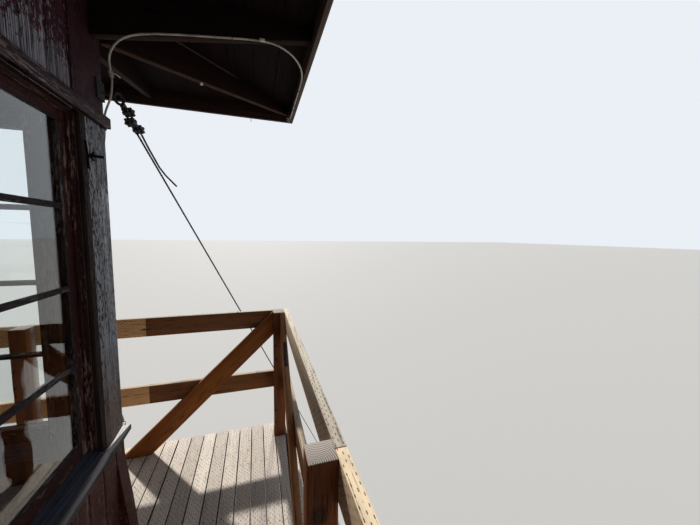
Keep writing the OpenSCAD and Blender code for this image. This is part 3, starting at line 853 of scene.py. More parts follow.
def rod(name: str, start: Sequence[float], end: Sequence[float], radius: float,
        sides: int = 12) -> Piece:
    """Adds a round rod between two places.

    Args:
        name: The rod's name.
        start: The middle of one end.
        end: The middle of the other.
        radius: Half its thickness.
        sides: Faces round it.

    Returns:
        The rod.
    """
    start, end = Vector(start), Vector(end)
    bpy.ops.object.select_all(action="DESELECT")
    bpy.ops.mesh.primitive_cylinder_add(vertices=sides, radius=radius, depth=(end - start).length)
    piece = bpy.context.object
    piece.name = name
    turn = (end - start).to_track_quat("Z", "Y").to_matrix().to_4x4()
    piece.matrix_world = Matrix.Translation((start + end) / 2) @ turn
    return settle(piece)


@contextmanager
def opened(piece: Piece, wanted: Callable[[Vector, Vector], bool] | None = None
           ) -> Iterator[None]:
    """Opens a piece in edit mode with some of its faces selected.

    Args:
        piece: The piece to shape.
        wanted: Says from a face's middle and normal whether it is selected. All are
            selected when it is left out.

    Yields:
        Nothing, while the piece is open.
    """
    pick(piece)
    bpy.context.tool_settings.mesh_select_mode = (False, False, True)
    mesh = piece.data
    for parts in (mesh.vertices, mesh.edges):
        parts.foreach_set("select", [False] * len(parts))
    mesh.polygons.foreach_set("select", [wanted is None or wanted(face.center, face.normal)
                                         for face in mesh.polygons])
    bpy.ops.object.mode_set(mode="EDIT")
    yield
    bpy.ops.object.mode_set(mode="OBJECT")


@contextmanager
def edges_of(piece: Piece, wanted: Callable[[Vector, Vector], bool]) -> Iterator[None]:
    """Opens a piece in edit mode with the edges selected whose two ends are wanted.

    Args:
        piece: The piece to shape.
        wanted: Says from an edge's ends whether it is selected.

    Yields:
        Nothing, while the piece is open.
    """
    pick(piece)
    bpy.context.tool_settings.mesh_select_mode = (False, True, False)
    mesh = piece.data
    for parts in (mesh.vertices, mesh.polygons):
        parts.foreach_set("select", [False] * len(parts))
    ends = [[mesh.vertices[i].co for i in edge.vertices] for edge in mesh.edges]
    mesh.edges.foreach_set("select", [wanted(a, b) for a, b in ends])
    bpy.ops.object.mode_set(mode="EDIT")
    yield
    bpy.ops.object.mode_set(mode="OBJECT")


def modify(piece: Piece, kind: str, **settings: object) -> Piece:
    """Adds one modifier, sets it and applies it.

    Args:
        piece: The piece.
        kind: The modifier's type.
        settings: Its options.

    Returns:
        The same piece.
    """
    pick(piece)
    modifier = piece.modifiers.new(kind.lower(), kind)
    for name, value in settings.items():
        setattr(modifier, name, value)
    bpy.ops.object.modifier_apply(modifier=modifier.name)
    return piece


def ease(piece: Piece, width: float, segments: int = 2) -> Piece:
    """Rounds every sharp edge a little."""
    return modify(piece, "BEVEL", width=width, segments=segments,
                  limit_method="ANGLE", angle_limit=math.radians(30))


def row(piece: Piece, count: int, offset: Place) -> Piece:
    """Repeats a piece at an even distance."""
    return modify(piece, "ARRAY", count=count, use_relative_offset=False,
                  use_constant_offset=True, constant_offset_displace=offset)


def cut(piece: Piece, place: Place, outward: Place) -> None:
    """Cuts off what lies outward of a plane and closes the cut."""
    with opened(piece):
        bpy.ops.mesh.bisect(plane_co=place, plane_no=outward, use_fill=True, clear_outer=True)


def score(piece: Piece, place: Place, across: Place) -> None:
    """Adds edges where a plane crosses a piece."""
    with opened(piece):
        bpy.ops.mesh.bisect(plane_co=place, plane_no=across)


def of_node(node: str, name: str) -> Piece:
    """Copies a CAD node, whose mesh is loose triangles, as a new piece.

    Args:
        node: The CAD node.
        name: The new piece's name.

    Returns:
        The new piece.
    """
    piece = bpy.data.objects.new(name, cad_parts[node].data.copy())
    bpy.context.scene.collection.objects.link(piece)
    return piece


def joined(name: str, pieces: Sequence[Piece]) -> Piece:
    """Joins pieces into the first one and names it.

    Args:
        name: The whole's name.
        pieces: What to join.

    Returns:
        The whole.
    """
    pick(*pieces)
    if len(pieces) > 1:
        bpy.ops.object.join()
    pieces[0].name = name
    return pieces[0]


def copied(piece: Piece, name: str, matrix: Matrix) -> Piece:
    """Copies a piece with its own mesh and moves the copy by a matrix.

    Args:
        piece: The piece.
        name: The copy's name.
        matrix: The copy's move.

    Returns:
        The copy.
    """
    pick(piece)
    bpy.ops.object.duplicate()
    copy = bpy.context.object
    copy.name = name
    copy.matrix_world = matrix @ copy.matrix_world
    settle(copy)
    if matrix.determinant() < 0:
        with opened(copy):
            bpy.ops.mesh.normals_make_consistent(inside=False)
    return copy


def smooth(piece: Piece, angle: float = 35.0) -> Piece:
    """Shades a piece smooth across its flatter edges.

    Args:
        piece: The piece.
        angle: The sharpest edge to smooth, in degrees.

    Returns:
        The same piece.
    """
    pick(piece)
    bpy.ops.object.shade_smooth_by_angle(angle=math.radians(angle))
    return piece


def islands(mesh: bpy.types.Mesh) -> np.ndarray:
    """Numbers the loose parts of a mesh, one number for each vertex.

    Args:
        mesh: The mesh.

    Returns:
        Each vertex's number.
    """
    ends = np.empty(len(mesh.edges) * 2, np.int64)
    mesh.edges.foreach_get("vertices", ends)
    first, second = ends.reshape(-1, 2).T
    label = np.arange(len(mesh.vertices))
    while True:
        lowest = label.copy()
        np.minimum.at(lowest, first, label[second])
        np.minimum.at(lowest, second, label[first])
        lowest = lowest[lowest]
        if np.array_equal(lowest, label):
            return np.unique(label, return_inverse=True)[1]
        label = lowest


def board_axes(points: np.ndarray) -> np.ndarray:
    """Finds the length, width and thickness directions of one board.

    Args:
        points: The board's vertices, one to a row.

    Returns:
        The three directions, one to a row, with the length first.
    """
    spread = np.linalg.eigh(np.cov((points - points.mean(0)).T))[1]
    along = spread[:, 2] * np.sign(spread[:, 2].sum() or 1.0)
    nearest = np.eye(3)[np.argmax(np.abs(along))]
    if abs(along @ nearest) > math.cos(math.radians(8)):
        along = nearest
    other = np.array((0.0, 0.0, 1.0)) if abs(along[2]) < 0.9 else np.array((0.0, 1.0, 0.0))
    across = np.cross(other, along)
    across /= np.linalg.norm(across)
    return np.array((along, across, np.cross(along, across)))


def mark_boards(piece: Piece, seed: int) -> Piece:
    """Marks each loose part of a piece with its own grain direction, place and tone.

    Args:
        piece: A piece of separate boards.
        seed: Start of the piece's own random run.

    Returns:
        The piece, with the point attributes that the wood finishes read.
    """
    mesh = piece.data
    points = np.empty(len(mesh.vertices) * 3)
    mesh.vertices.foreach_get("co", points)
    points = points.reshape(-1, 3)
    part = islands(mesh)
    rng = np.random.default_rng(seed)
    grain = np.empty_like(points)
    along = np.empty_like(points)
    tone = np.empty(len(points))
    for number in range(part.max() + 1):
        mine = part == number
        middle = (points[mine].min(0) + points[mine].max(0)) / 2
        pith = rng.uniform((0.0, -0.15, 0.03), (60.0, 0.15, 0.12))
        axes = board_axes(points[mine])
        grain[mine] = (points[mine] - middle) @ axes.T + pith
        along[mine] = axes[0]
        tone[mine] = rng.random()
    for name, values in (("grain", grain), ("along", along)):
        mesh.attributes.new(name, "FLOAT_VECTOR", "POINT").data.foreach_set("vector",
                                                                            values.ravel())
    mesh.attributes.new("tone", "FLOAT", "POINT").data.foreach_set("value", tone)
    return piece


def spot(x: float, y: float, z: float) -> Vector:
    """The place at an offset from the cab's north-east corner at deck level."""
    return Vector((CAB_EDGE + x, CAB_EDGE + y, DECK_TOP + z))


def hand_over(piece: Piece, finish: Finish, slot: Slot, *replaced: str) -> Piece:
    """Dresses a finished piece and sets it on the frame.

    Args:
        piece: The finished piece.
        finish: What its surface is.
        slot: The slot for that finish; not used.
        replaced: The CAD nodes that it stands for.

    Returns:
        The same piece.
    """
    piece.data.materials.clear()
    piece.data.materials.append(material_of(finish))
    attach(piece, "root")
    if replaced:
        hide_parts(*replaced)
    LOG.info("%s: %d faces", piece.name, len(piece.data.polygons))
    return piece


def to_each_side(piece: Piece, stem: str, finish: Finish, slot: Slot, seed: int,
                 node: str = "") -> list[Piece]:
    """Copies a piece of the north side to each side and dresses the copies.

    Args:
        piece: The piece on the north side, which is used up.
        stem: The copies' name, before the side's.
        finish: What their surface is.
        slot: The slot for that finish.
        seed: Start of the first copy's random run.
        node: The CAD node that they stand for, with {} in place of the side's name.

    Returns:
        The four copies.
    """
    made = []
    for side in Side:
        copy = copied(piece, f"{stem}_{side.label}", side.turn)
        mark_boards(copy, seed + side.value)
        made.append(hand_over(copy, finish, slot, *([node.format(side.label)] if node else [])))
    bpy.data.objects.remove(piece)
    return made


@dataclass
class EasedNode:
    """A CAD node's own solids with their edges eased and the grain of each board marked."""

    node: str
    finish: Finish
    slot: Slot
    ease: float = 0.003
    seed: int = 1

    def build(self) -> Piece:
        """Copies the node's mesh, merges its triangles and rounds its edges.

        Returns:
            The piece.
        """
        piece = of_node(self.node, self.node + "_eased")
        with opened(piece):
            bpy.ops.mesh.remove_doubles(threshold=MERGED)
            bpy.ops.mesh.dissolve_limited(angle_limit=math.radians(0.5))
        smooth(ease(piece, self.ease))
        mark_boards(piece, self.seed)
        return hand_over(piece, self.finish, self.slot, self.node)


@dataclass
class Siding:
    """V-grooved boards over a plain lining, on the wall under or over the windows."""

    stem: str
    finish: Finish
    board: float = 0.118
    first_groove: float = 0.088
    groove: float = 0.006
    thickness: float = 0.019
    recess: float = 0.0
    stop: float = 0.0
    gap: float = 0.0006
    seed: int = 11
    lining_seed: int = 31

    def build(self) -> list[Piece]:
        """Makes the north side's siding and lining and copies them to the other sides.

        Returns:
            The four sidings and linings.
        """
        low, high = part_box(f"{self.stem}_{Side.NORTH.label}")
        face = high.y - self.recess
        start = low.x + self.first_groove - self.board
        boards = block("siding", (start, face - self.thickness, low.z),
                       (start + self.board - self.gap, face, high.z))
        with edges_of(boards, lambda a, b: abs(a.x - b.x) < 1e-6
                      and abs(a.y - b.y) < 1e-6 and a.y > face - NEAR):
            bpy.ops.mesh.bevel(offset=self.groove, segments=1, affect="EDGES")
        reach = -low.x
        row(boards, math.ceil(2 * reach / self.board) + 1, (self.board, 0, 0))
        cut(boards, (low.x + self.stop, 0, 0), (-1, 0, 0))
        cut(boards, (reach - max(self.stop, self.thickness), 0, 0), (1, 0, 0))
        lining = block("lining", low, (high.x, face - self.thickness, high.z))
        ease(lining, 0.002)
        made = []
        for side in Side:
            node = f"{self.stem}_{side.label}"
            skin = copied(boards, f"{node}_siding", side.turn)
            mark_boards(skin, self.seed + side.value)
            made.append(hand_over(skin, self.finish, Slot.MAROON, node))
            back = copied(lining, f"{node}_lining", side.turn)
            mark_boards(back, self.lining_seed + side.value)
            made.append(hand_over(back, LINING, Slot.FLOOR, node))
        bpy.data.objects.remove(boards)
        bpy.data.objects.remove(lining)
        return made


@dataclass
class SprungBoard:
    """The last board under the north-east sill, whose foot has sprung off the wall."""

    width: float = 0.084
    top: float = 0.625
    clear: float = 0.004
    spring: tuple[float, ...] = (0.056, 0.047, 0.037, 0.026, 0.0125, 0.0)
    seed: int = 67

    def build(self) -> list[Piece]:
        """Bends a board over the siding from a height under the sill to the deck.

        Returns:
            The board.
        """
        low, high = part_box("lower_wall_east")
        board = block("board", (high.x - 0.002, high.y - self.width, low.z + self.clear),
                      (high.x + HAIRLINE, high.y - 0.001, low.z + self.top))
        rise = (self.top - self.clear) / (len(self.spring) - 1)
        for turn in range(1, len(self.spring) - 1):
            score(board, (0, 0, low.z + self.clear + turn * rise), (0, 0, 1))
        for turn, out in enumerate(self.spring):
            level = low.z + self.clear + turn * rise
            with edges_of(board, lambda a, b: min(a.x, b.x) > high.x
                          and abs(a.z - level) + abs(b.z - level) < NEAR):
                bpy.ops.transform.translate(value=(out, 0, 0))
        ease(board, 0.002)
        mark_boards(board, self.seed)
        return [hand_over(board, LOWER_SIDING, Slot.MAROON, "lower_wall_east")]


@dataclass
class CornerPosts:
    """The cab's corner posts with a plain board on each outer face."""

    board: float = 0.020
    upper_width: float = 0.232
    upper_thickness: float = 0.024

    def build(self) -> list[Piece]:
        """Makes the posts, the boards beside the windows and the boards above them.

        Returns:
            The posts and both kinds of board.
        """
        low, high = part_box("corner_boards")
        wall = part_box("lower_wall_north")
        inner = CAB_EDGE - (wall[1].y - wall[0].y)
        width = CAB_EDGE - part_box("sashes_north")[1].x
        behind = CAB_EDGE - self.board
        post = block("post", (CAB_EDGE - width, inner, low.z), (behind, behind, high.z))
        score(post, (inner, 0, 0), (1, 0, 0))
        with opened(post, lambda middle, normal: normal.y < -0.9 and middle.x > inner):
            bpy.ops.mesh.extrude_region_move(
                TRANSFORM_OT_translate={"value": (0, CAB_EDGE - width - inner, 0)})
        ease(post, 0.002)
        faces = self.pair("faces", width, self.board, low.z, high.z)
        caps = self.pair("caps", self.upper_width, self.upper_thickness,
                         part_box("drip_boards")[1].z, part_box("upper_wall_north")[1].z)
        return [self.spread(post, "corner_posts", SASH_PAINT, Slot.MAROON, "corner_boards"),
                self.spread(faces, "corner_faces", CORNER_WOOD, Slot.BARE, "corner_boards"),
                self.spread(caps, "upper_corner_faces", UPPER_CORNER, Slot.MAROON)]

    @staticmethod
    def pair(name: str, width: float, thick: float, bottom: float, top: float) -> Piece:
        """Makes the two boards that meet at the north-east corner.

        Args:
            name: The pair's name.
            width: How far the boards reach from the corner.
            thick: Their thickness.
            bottom: Height of their lower ends.
            top: Height of their upper ends.

        Returns:
            Both boards as one piece.
        """
        far, behind = CAB_EDGE - width, CAB_EDGE - thick
        east = block("east", (behind, far, bottom), (CAB_EDGE, CAB_EDGE, top))
        north = block("north", (far, behind, bottom), (behind - 0.0005, CAB_EDGE, top))
        return ease(joined(name, (east, north)), 0.0025)

    @staticmethod
    def spread(piece: Piece, name: str, finish: Finish, slot: Slot, *nodes: str) -> Piece:
        """Copies one corner's piece to all four corners as one piece.

        Args:
            piece: The corner's piece, which is used up.
            name: The whole's name.
            finish: What its surface is.
            slot: The slot for that finish.
            nodes: The CAD nodes that it stands for.

        Returns:
            The whole.
        """
        copies = [copied(piece, name, side.turn) for side in Side]
        bpy.data.objects.remove(piece)
        made = smooth(joined(name, copies))
        mark_boards(made, len(name))
        return hand_over(made, finish, slot, *nodes)


@dataclass
class Sashes:
    """Four sashes on a side, each with its glass, putty, glazing bars and stops."""

    windows: int = 4
    mullion: float = 0.090
    stile: float = 0.047
    bottom: float = 0.065
    chamfer: float = 0.006
    panes: int = 4
    bar: float = 0.024
    glass: float = 0.006
    rebate: float = 0.006
    bead: float = 0.006
    stop: float = 0.012
    forward: float = 0.008
    seed: int = 51

    def __post_init__(self) -> None:
        """Measures one sash, the opening in it and where its glass lies."""
        self.low, self.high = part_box("sashes_north")
        reach = self.high.x - self.low.x
        self.width = (reach - (self.windows - 1) * self.mullion) / self.windows
        self.right = self.low.x + self.width
        self.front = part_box("window_glass")[1].y + self.forward
        self.across = (self.low.x + self.stile, self.right - self.stile)
        self.upright = (self.low.z + self.bottom, self.high.z - self.stile)

    def build(self) -> list[Piece]:
        """Makes one window's pieces, repeats them along the north side and copies those.

        Returns:
            The pieces of all four sides.
        """
        made = []
        for piece, stem, finish, slot, node in (
                (self.frame(), "sash_frames", SASH_PAINT, Slot.MAROON, "sashes_{}"),
                (self.bars(), "glazing_bars", BAR_PAINT_AND_SHADE, Slot.MAROON, "sashes_{}"),
                (self.pane(), "panes", WINDOW_GLASS, Slot.GLASS, "window_glass"),
                (self.putty(), "putty", PUTTY, Slot.MAROON, ""),
                (self.stops(), "sash_stops", SASH_PAINT, Slot.MAROON, "")):
            row(piece, self.windows, (self.width + self.mullion, 0, 0))
            made += to_each_side(piece, stem, finish, slot, self.seed, node)
        return made

    def frame(self) -> Piece:
        """Makes the two stiles and the two rails of a sash.

        Returns:
            The sash's frame.
        """
        (left, right), low, high = self.across, self.low, self.high
        stiles = [block("stile", (x, low.y, low.z), (x + self.stile, high.y, high.z))
                  for x in (low.x, right)]
        rails = [block("rail", (left + HAIRLINE, low.y, z), (right - HAIRLINE, high.y, z + tall))
                 for z, tall in ((low.z, self.bottom), (high.z - self.stile, self.stile))]
        for member in (*stiles, *rails):
            self.chamfered(member)
        return joined("sash", (*stiles, *rails))

    def chamfered(self, member: Piece) -> None:
        """Cuts the chamfer along the edge of a stile or rail that looks at the glass.

        Args:
            member: The stile or rail.
        """
        bottom, top = self.upright

        def wanted(a: Vector, b: Vector) -> bool:
            """Says whether an edge lies in front, on the outline of the opening.

            Args:
                a: One end.
                b: The other end.

            Returns:
                Whether it is chamfered.
            """
            beside = any(max(abs(a.x - x), abs(b.x - x)) < 1e-3 for x in self.across)
            level = any(max(abs(a.z - z), abs(b.z - z)) < 1e-3 for z in self.upright)
            return (min(a.y, b.y) > self.high.y - NEAR and (beside or level)
                    and bottom - 0.02 < (a.z + b.z) / 2 < top + 0.02)

        with edges_of(member, wanted):
            bpy.ops.mesh.bevel(offset=self.chamfer, segments=1, affect="EDGES")
        ease(member, 0.0012, 1)

    def bars(self) -> Piece:
        """Makes the glazing bars, each in an outer and an inner half.

        Returns:
            The bars of one sash.
        """
        bottom, top = self.upright
        gap = (top - bottom) / self.panes
        faces = ((self.high.y - 0.003, self.front + 0.0003),
                 (self.low.y + 0.004, self.front - self.glass - 0.0003))
        halves = [self.half_bar(bottom + level * gap, face, seat)
                  for level in range(1, self.panes) for face, seat in faces]
        return joined("bars", halves)

    def half_bar(self, z: float, front: float, back: float) -> Piece:
        """Makes one half of a glazing bar, narrow in front and wide on the glass.

        Args:
            z: Height of its middle.
            front: Where its narrow face is.
            back: Where it meets the glass.

        Returns:
            The half.
        """
        (left, right), half = self.across, self.bar / 2
        low_y, high_y = sorted((front, back))
        bar = block("bar", (left + 0.0005, low_y, z - half), (right - 0.0005, high_y, z + half))
        outward = math.copysign(1.0, front - back)
        with opened(bar, lambda middle, normal: normal.y * outward > 0.9):
            bpy.ops.transform.resize(value=(1, 1, 0.45))
        return ease(bar, 0.001, 1)

    def pane(self) -> Piece:
        """Makes the sheet of glass, let into the rebates all round.

        Returns:
            The sheet.
        """
        (left, right), (bottom, top) = self.across, self.upright
        sheet = block("pane", (left - self.rebate, self.front - self.glass, bottom - self.rebate),
                      (right + self.rebate, self.front, top + self.rebate))
        return ease(sheet, 0.0006, 1)

    def putty(self) -> Piece:
        """Makes the four sloping beads of putty that hold the glass.

        Returns:
            The beads of one sash.
        """
        (left, right), (bottom, top), wide = self.across, self.upright, self.bead
        tall = self.front + wide
        beads = []
        for x0, z0, x1, z1, axis, inner in (
                (left, bottom, left + wide, top, 0, left + wide),
                (right - wide, bottom, right, top, 0, right - wide),
                (left, bottom, right, bottom + wide, 2, bottom + wide),
                (left, top - wide, right, top, 2, top - wide)):
            bead = block("bead", (x0, self.front + 0.0002, z0), (x1, tall, z1))
            with edges_of(bead, lambda a, b: min(a.y, b.y) > tall - NEAR
                          and max(abs(a[axis] - inner), abs(b[axis] - inner)) < NEAR):
                bpy.ops.mesh.bevel(offset=wide * 0.9, segments=1, affect="EDGES")
            beads.append(bead)
        return joined("putty", beads)

    def stops(self) -> Piece:
        """Makes the slips that hold a sash in its opening, at both sides and on top.

        Returns:
            The slips of one sash.
        """
        low, high, right = self.low, self.high, self.right
        seat, face = high.y + HAIRLINE, high.y + self.stop
        slips = [block("stop", (x, seat, low.z - 0.010), (x + self.stop, face, high.z))
                 for x in (low.x, right - self.stop)]
        slips.append(block("stop", (low.x + self.stop + HAIRLINE, seat, high.z - self.stop),
                           (right - self.stop - HAIRLINE, face, high.z)))
        return ease(joined("stops", slips), 0.0025)


@dataclass
class Sills:
    """Sloping sills under the sashes, each of two planks and a nosing."""

    seam_at: float = 0.082
    seam: float = 0.0006
    edge: float = 0.022
    shoulder: float = 0.001
    seed: int = 61

    def build(self) -> list[Piece]:
        """Makes the north sill and copies it to the other sides.

        Returns:
            The planks and nosings of all four sides.
        """
        back, front = (corner.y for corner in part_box("lower_wall_north"))
        seam = back + self.seam_at
        planks = joined("planks", [self.plank(back, seam), self.plank(seam + self.seam, front)])
        made = []
        for piece, stem, finish in ((ease(planks, 0.003), "sill_planks", SILL_WOOD),
                                    (self.nosing(front), "sill_nosing", SILL_NOSE)):
            made += to_each_side(smooth(piece), stem, finish, Slot.BARE, self.seed, "window_sills")
        return made

    def top(self, y: float) -> float:
        """Height of the sill's top at a distance from the middle of the tower.

        Args:
            y: The distance.

        Returns:
            The height, in metres.
        """
        low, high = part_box("window_sills")
        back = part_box("sashes_north")[0].y
        fall = (high.z - low.z - self.edge) / (high.y - back)
        return high.z - fall * max(0.0, y - back)

    def plank(self, back: float, front: float) -> Piece:
        """Makes one plank, level under the sash and sloping in front of it.

        Args:
            back: Where it starts.
            front: Where it ends.

        Returns:
            The plank.
        """
        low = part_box("window_sills")[0]
        sash_low, sash_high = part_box("sashes_north")
        plank = block("plank", (-sash_high.x, back, low.z), (sash_high.x, front, self.top(back)))
        if back < sash_low.y < front:
            score(plank, (0, sash_low.y, 0), (0, 1, 0))
        with edges_of(plank, lambda a, b: min(a.y, b.y) > front - NEAR
                      and min(a.z, b.z) > low.z + 0.01):
            bpy.ops.transform.translate(value=(0, 0, self.top(front) - self.top(back)))
        return plank

    def nosing(self, back: float) -> Piece:
        """Makes the nosing, which is raised at its back edge only beside the planks.

        Args:
            back: Where it meets the planks.

        Returns:
            The nosing.
        """
        low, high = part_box("window_sills")
        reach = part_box("sashes_north")[1].x
        level = low.z + self.edge
        nosing = block("nosing", (-back, back + HAIRLINE, low.z), (back, high.y, level))
        for x in (-reach, -reach + self.shoulder, reach - self.shoulder, reach):
            score(nosing, (x, 0, 0), (1, 0, 0))
        with edges_of(nosing, lambda a, b: max(a.y, b.y) < back + 0.001
                      and min(a.z, b.z) > level - NEAR
                      and max(abs(a.x), abs(b.x)) < reach - self.shoulder / 2):
            bpy.ops.transform.translate(value=(0, 0, self.top(back) - level))
        return ease(nosing, 0.003)


@dataclass
class Deck:
    """Separate deck boards that all run north and south, notched round the posts."""

    pitch: float = 0.0945
    gap: float = 0.0065
    floor_gap: float = 0.0008
    post: float = 0.089
    clearance: float = 0.003
    breaks: tuple[tuple[float, ...], ...] = ((-1.37, 0.75), (-0.75, 1.37))
    butt: float = 0.0015
    beside_joists: tuple[float, ...] = (0.115, 0.515, 0.655, 0.77)
    seed: int = 71

    def build(self) -> list[Piece]:
        """Lays the boards of the four decks.

        Returns:
            The boards and nails of each deck.
        """
        made = []
        for side in Side:
            low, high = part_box(f"deck_{side.label}")
            lay = self.short if side in (Side.NORTH, Side.SOUTH) else self.long
            boards = lay(low, high)
            self.notch(boards)
            smooth(ease(boards, 0.0025))
            boards.name = f"deck_boards_{side.label}"
            mark_boards(boards, self.seed + side.value)
            made.append(hand_over(boards, DECK_BOARDS, Slot.DECK, f"deck_{side.label}"))
            nails = self.nail_rows(low, high, side)
            made.append(hand_over(nails, NAIL_STEEL, Slot.STEEL))
        return made

    def columns(self, low: Vector, high: Vector) -> tuple[int, float]:
        """How many boards fill a deck from west to east, and their even pitch."""
        count = round((high.x - low.x + self.gap) / self.pitch)
        return count, (high.x - low.x + self.gap) / count

    def short(self, low: Vector, high: Vector) -> Piece:
        """Makes the boards of the north or south deck as one row.

        Args:
            low: The deck's lowest corner.
            high: Its highest corner.

        Returns:
            The boards.
        """
        count, pitch = self.columns(low, high)
        board = self.board(low, (low.x + pitch - self.gap, high.y, high.z))
        return row(board, count, (pitch, 0, 0))

    def board(self, low: Sequence[float], high: Sequence[float]) -> Piece:
        """Makes one board, with a gap beside it that narrows downwards.

        Args:
            low: The board's lowest corner.
            high: Its highest corner.

        Returns:
            The board.
        """
        board = block("deck", low, high)
        width = high[0] - low[0]
        with opened(board, lambda middle, normal: normal.z < -0.9):
            bpy.ops.transform.resize(value=((width + self.gap - self.floor_gap) / width, 1, 1))
        return board

    def long(self, low: Vector, high: Vector) -> Piece:
        """Makes the boards of the east or west deck, butted over joists in turn.

        Args:
            low: The deck's lowest corner.
            high: Its highest corner.

        Returns:
            The boards.
        """
        count, pitch = self.columns(low, high)
        rows = []
        for turn, cuts in enumerate(self.breaks):
            ends = (low.y, *cuts, high.y)
            west, east = low.x + turn * pitch, low.x + (turn + 1) * pitch - self.gap
            lengths = [self.board((west, a + self.butt, low.z), (east, b - self.butt, high.z))
                       for a, b in zip(ends, ends[1:])]
            rows.append(row(joined("deck", lengths), count // 2, (2 * pitch, 0, 0)))
        return joined("deck", rows)

    def notch(self, boards: Piece) -> None:
        """Cuts the boards round the railing posts.

        Args:
            boards: One deck's boards.
        """
        half = self.post / 2 + self.clearance
        low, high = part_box("railing_posts_north")
        line = high.y - self.post / 2
        blocks = []
        for place in self.post_places(line):
            for x, y in ((place, line), (place, -line), (line, place), (-line, place)):
                if self.on_deck(boards, x, y):
                    blocks.append(block("notch", (x - half, y - half, low.z - 0.01),
                                        (x + half, y + half, high.z)))
        cutter = joined("notches", blocks)
        modify(boards, "BOOLEAN", object=cutter, operation="DIFFERENCE", solver="EXACT")
        bpy.data.objects.remove(cutter)

    @staticmethod
    def post_places(line: float, end_bay: float = 1.652) -> tuple[float, ...]:
        """The posts' places along one side, from its middle."""
        return (-line + end_bay, 0.0, line - end_bay, line)

    @staticmethod
    def on_deck(boards: Piece, x: float, y: float) -> bool:
        """Says whether a place lies inside a deck's outline."""
        xs, ys, _ = zip(*boards.bound_box)
        return min(xs) < x < max(xs) and min(ys) < y < max(ys)

    def nail_rows(self, low: Vector, high: Vector, side: Side) -> Piece:
        """Sets two nail heads in each board over every joist.

        Args:
            low: The deck's lowest corner.
            high: Its highest corner.
            side: Its side.

        Returns:
            The nail heads.
        """
        count, pitch = self.columns(low, high)
        width = pitch - self.gap
        x = low.x + 0.2 * width
        head = rod("head", (x, low.y, high.z - 0.003), (x, low.y, high.z + 0.0006), 0.0036, 8)
        pair = row(head, 2, (0.6 * width, 0, 0))
        line = row(pair, count, (pitch, 0, 0))
        rows = [copied(line, "row", Matrix.Translation((0, y - low.y, 0)))
                for y in self.joist_lines(side) if low.y < y < high.y]
        bpy.data.objects.remove(line)
        return smooth(joined(f"deck_nails_{side.label}", rows))

    def joist_lines(self, side: Side) -> list[float]:
        """The lines that the nails follow, from the south to the north.

        Args:
            side: The deck's side.

        Returns:
            The lines' places.
        """
        beside = [CAB_EDGE + offset for offset in self.beside_joists]
        if side in (Side.NORTH, Side.SOUTH):
            return [*(-y for y in beside), *beside]
        middle = [CAB_EDGE * step / 4 for step in range(-4, 5)]
        return [*(-y for y in beside), *middle, *beside]


@dataclass
class Railing:
    """Bolt heads on the posts and the strap at the north-east corner."""

    head: float = 0.008
    heights: tuple[float, ...] = (0.126, 0.228, 0.669, 0.785)
    off_centre: float = 0.030
    post: float = 0.089
    brace_rise: float = 1.060
    brace_run: float = 1.116
    strap_from: float = 0.28
    strap_bolts: tuple[float, ...] = (-0.165, -0.115, -0.025)

    def build(self) -> list[Piece]:
        """Sets the bolts and the strap."""
        return [self.bolts(), self.strap()]

    def bolts(self) -> Piece:
        """Puts four bolts in each post, with heads on the inside.

        Returns:
            All the heads.
        """
        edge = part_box("railing_posts_north")[1].y
        heads = [self.bolt_head((x - self.off_centre, edge - self.post, DECK_TOP + z), (0, -1, 0))
                 for x in Deck.post_places(edge - self.post / 2) for z in self.heights]
        inside = joined("bolts", heads)
        copies = [copied(inside, "bolts", side.turn) for side in Side]
        bpy.data.objects.remove(inside)
        return hand_over(smooth(joined("railing_bolts", copies)), DARK_STEEL, Slot.STEEL)

    def bolt_head(self, place: Place, outward: Place) -> Piece:
        """Makes one six-sided head on a washer.

        Args:
            place: Where the washer lies.
            outward: The way that the head looks.

        Returns:
            The head and its washer.
        """
        start, out = Vector(place), Vector(outward)
        washer = rod("washer", start - out * 0.001, start + out * 0.002, self.head * 1.4, 12)
        head = rod("head", start + out * 0.001, start + out * 0.008, self.head, 6)
        ease(head, 0.001, 1)
        return joined("bolt", (washer, head))

    def strap(self) -> Piece:
        """Makes the dark strap that lies bolted on top of the north-east brace.

        Returns:
            The strap with its bolts.
        """
        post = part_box("railing_posts_east")[1]
        lean = math.atan2(self.brace_rise, self.brace_run)
        share = 1 - (self.strap_from - self.post) / self.brace_run
        start = Vector((post.x - 0.019, post.y - self.strap_from,
                        DECK_TOP + self.brace_rise * share))
        plate = block("plate", (-0.012, -0.19, 0.0003), (0.012, 0.0, 0.005))
        ease(plate, 0.0015)
        heads = [self.bolt_head((0, y, 0.005), (0, 0, 1)) for y in self.strap_bolts]
        whole = joined("corner_strap", (plate, *heads))
        whole.matrix_world = Matrix.Translation(start) @ Matrix.Rotation(lean, 4, "X")
        return hand_over(smooth(settle(whole)), DARK_STEEL, Slot.STEEL)


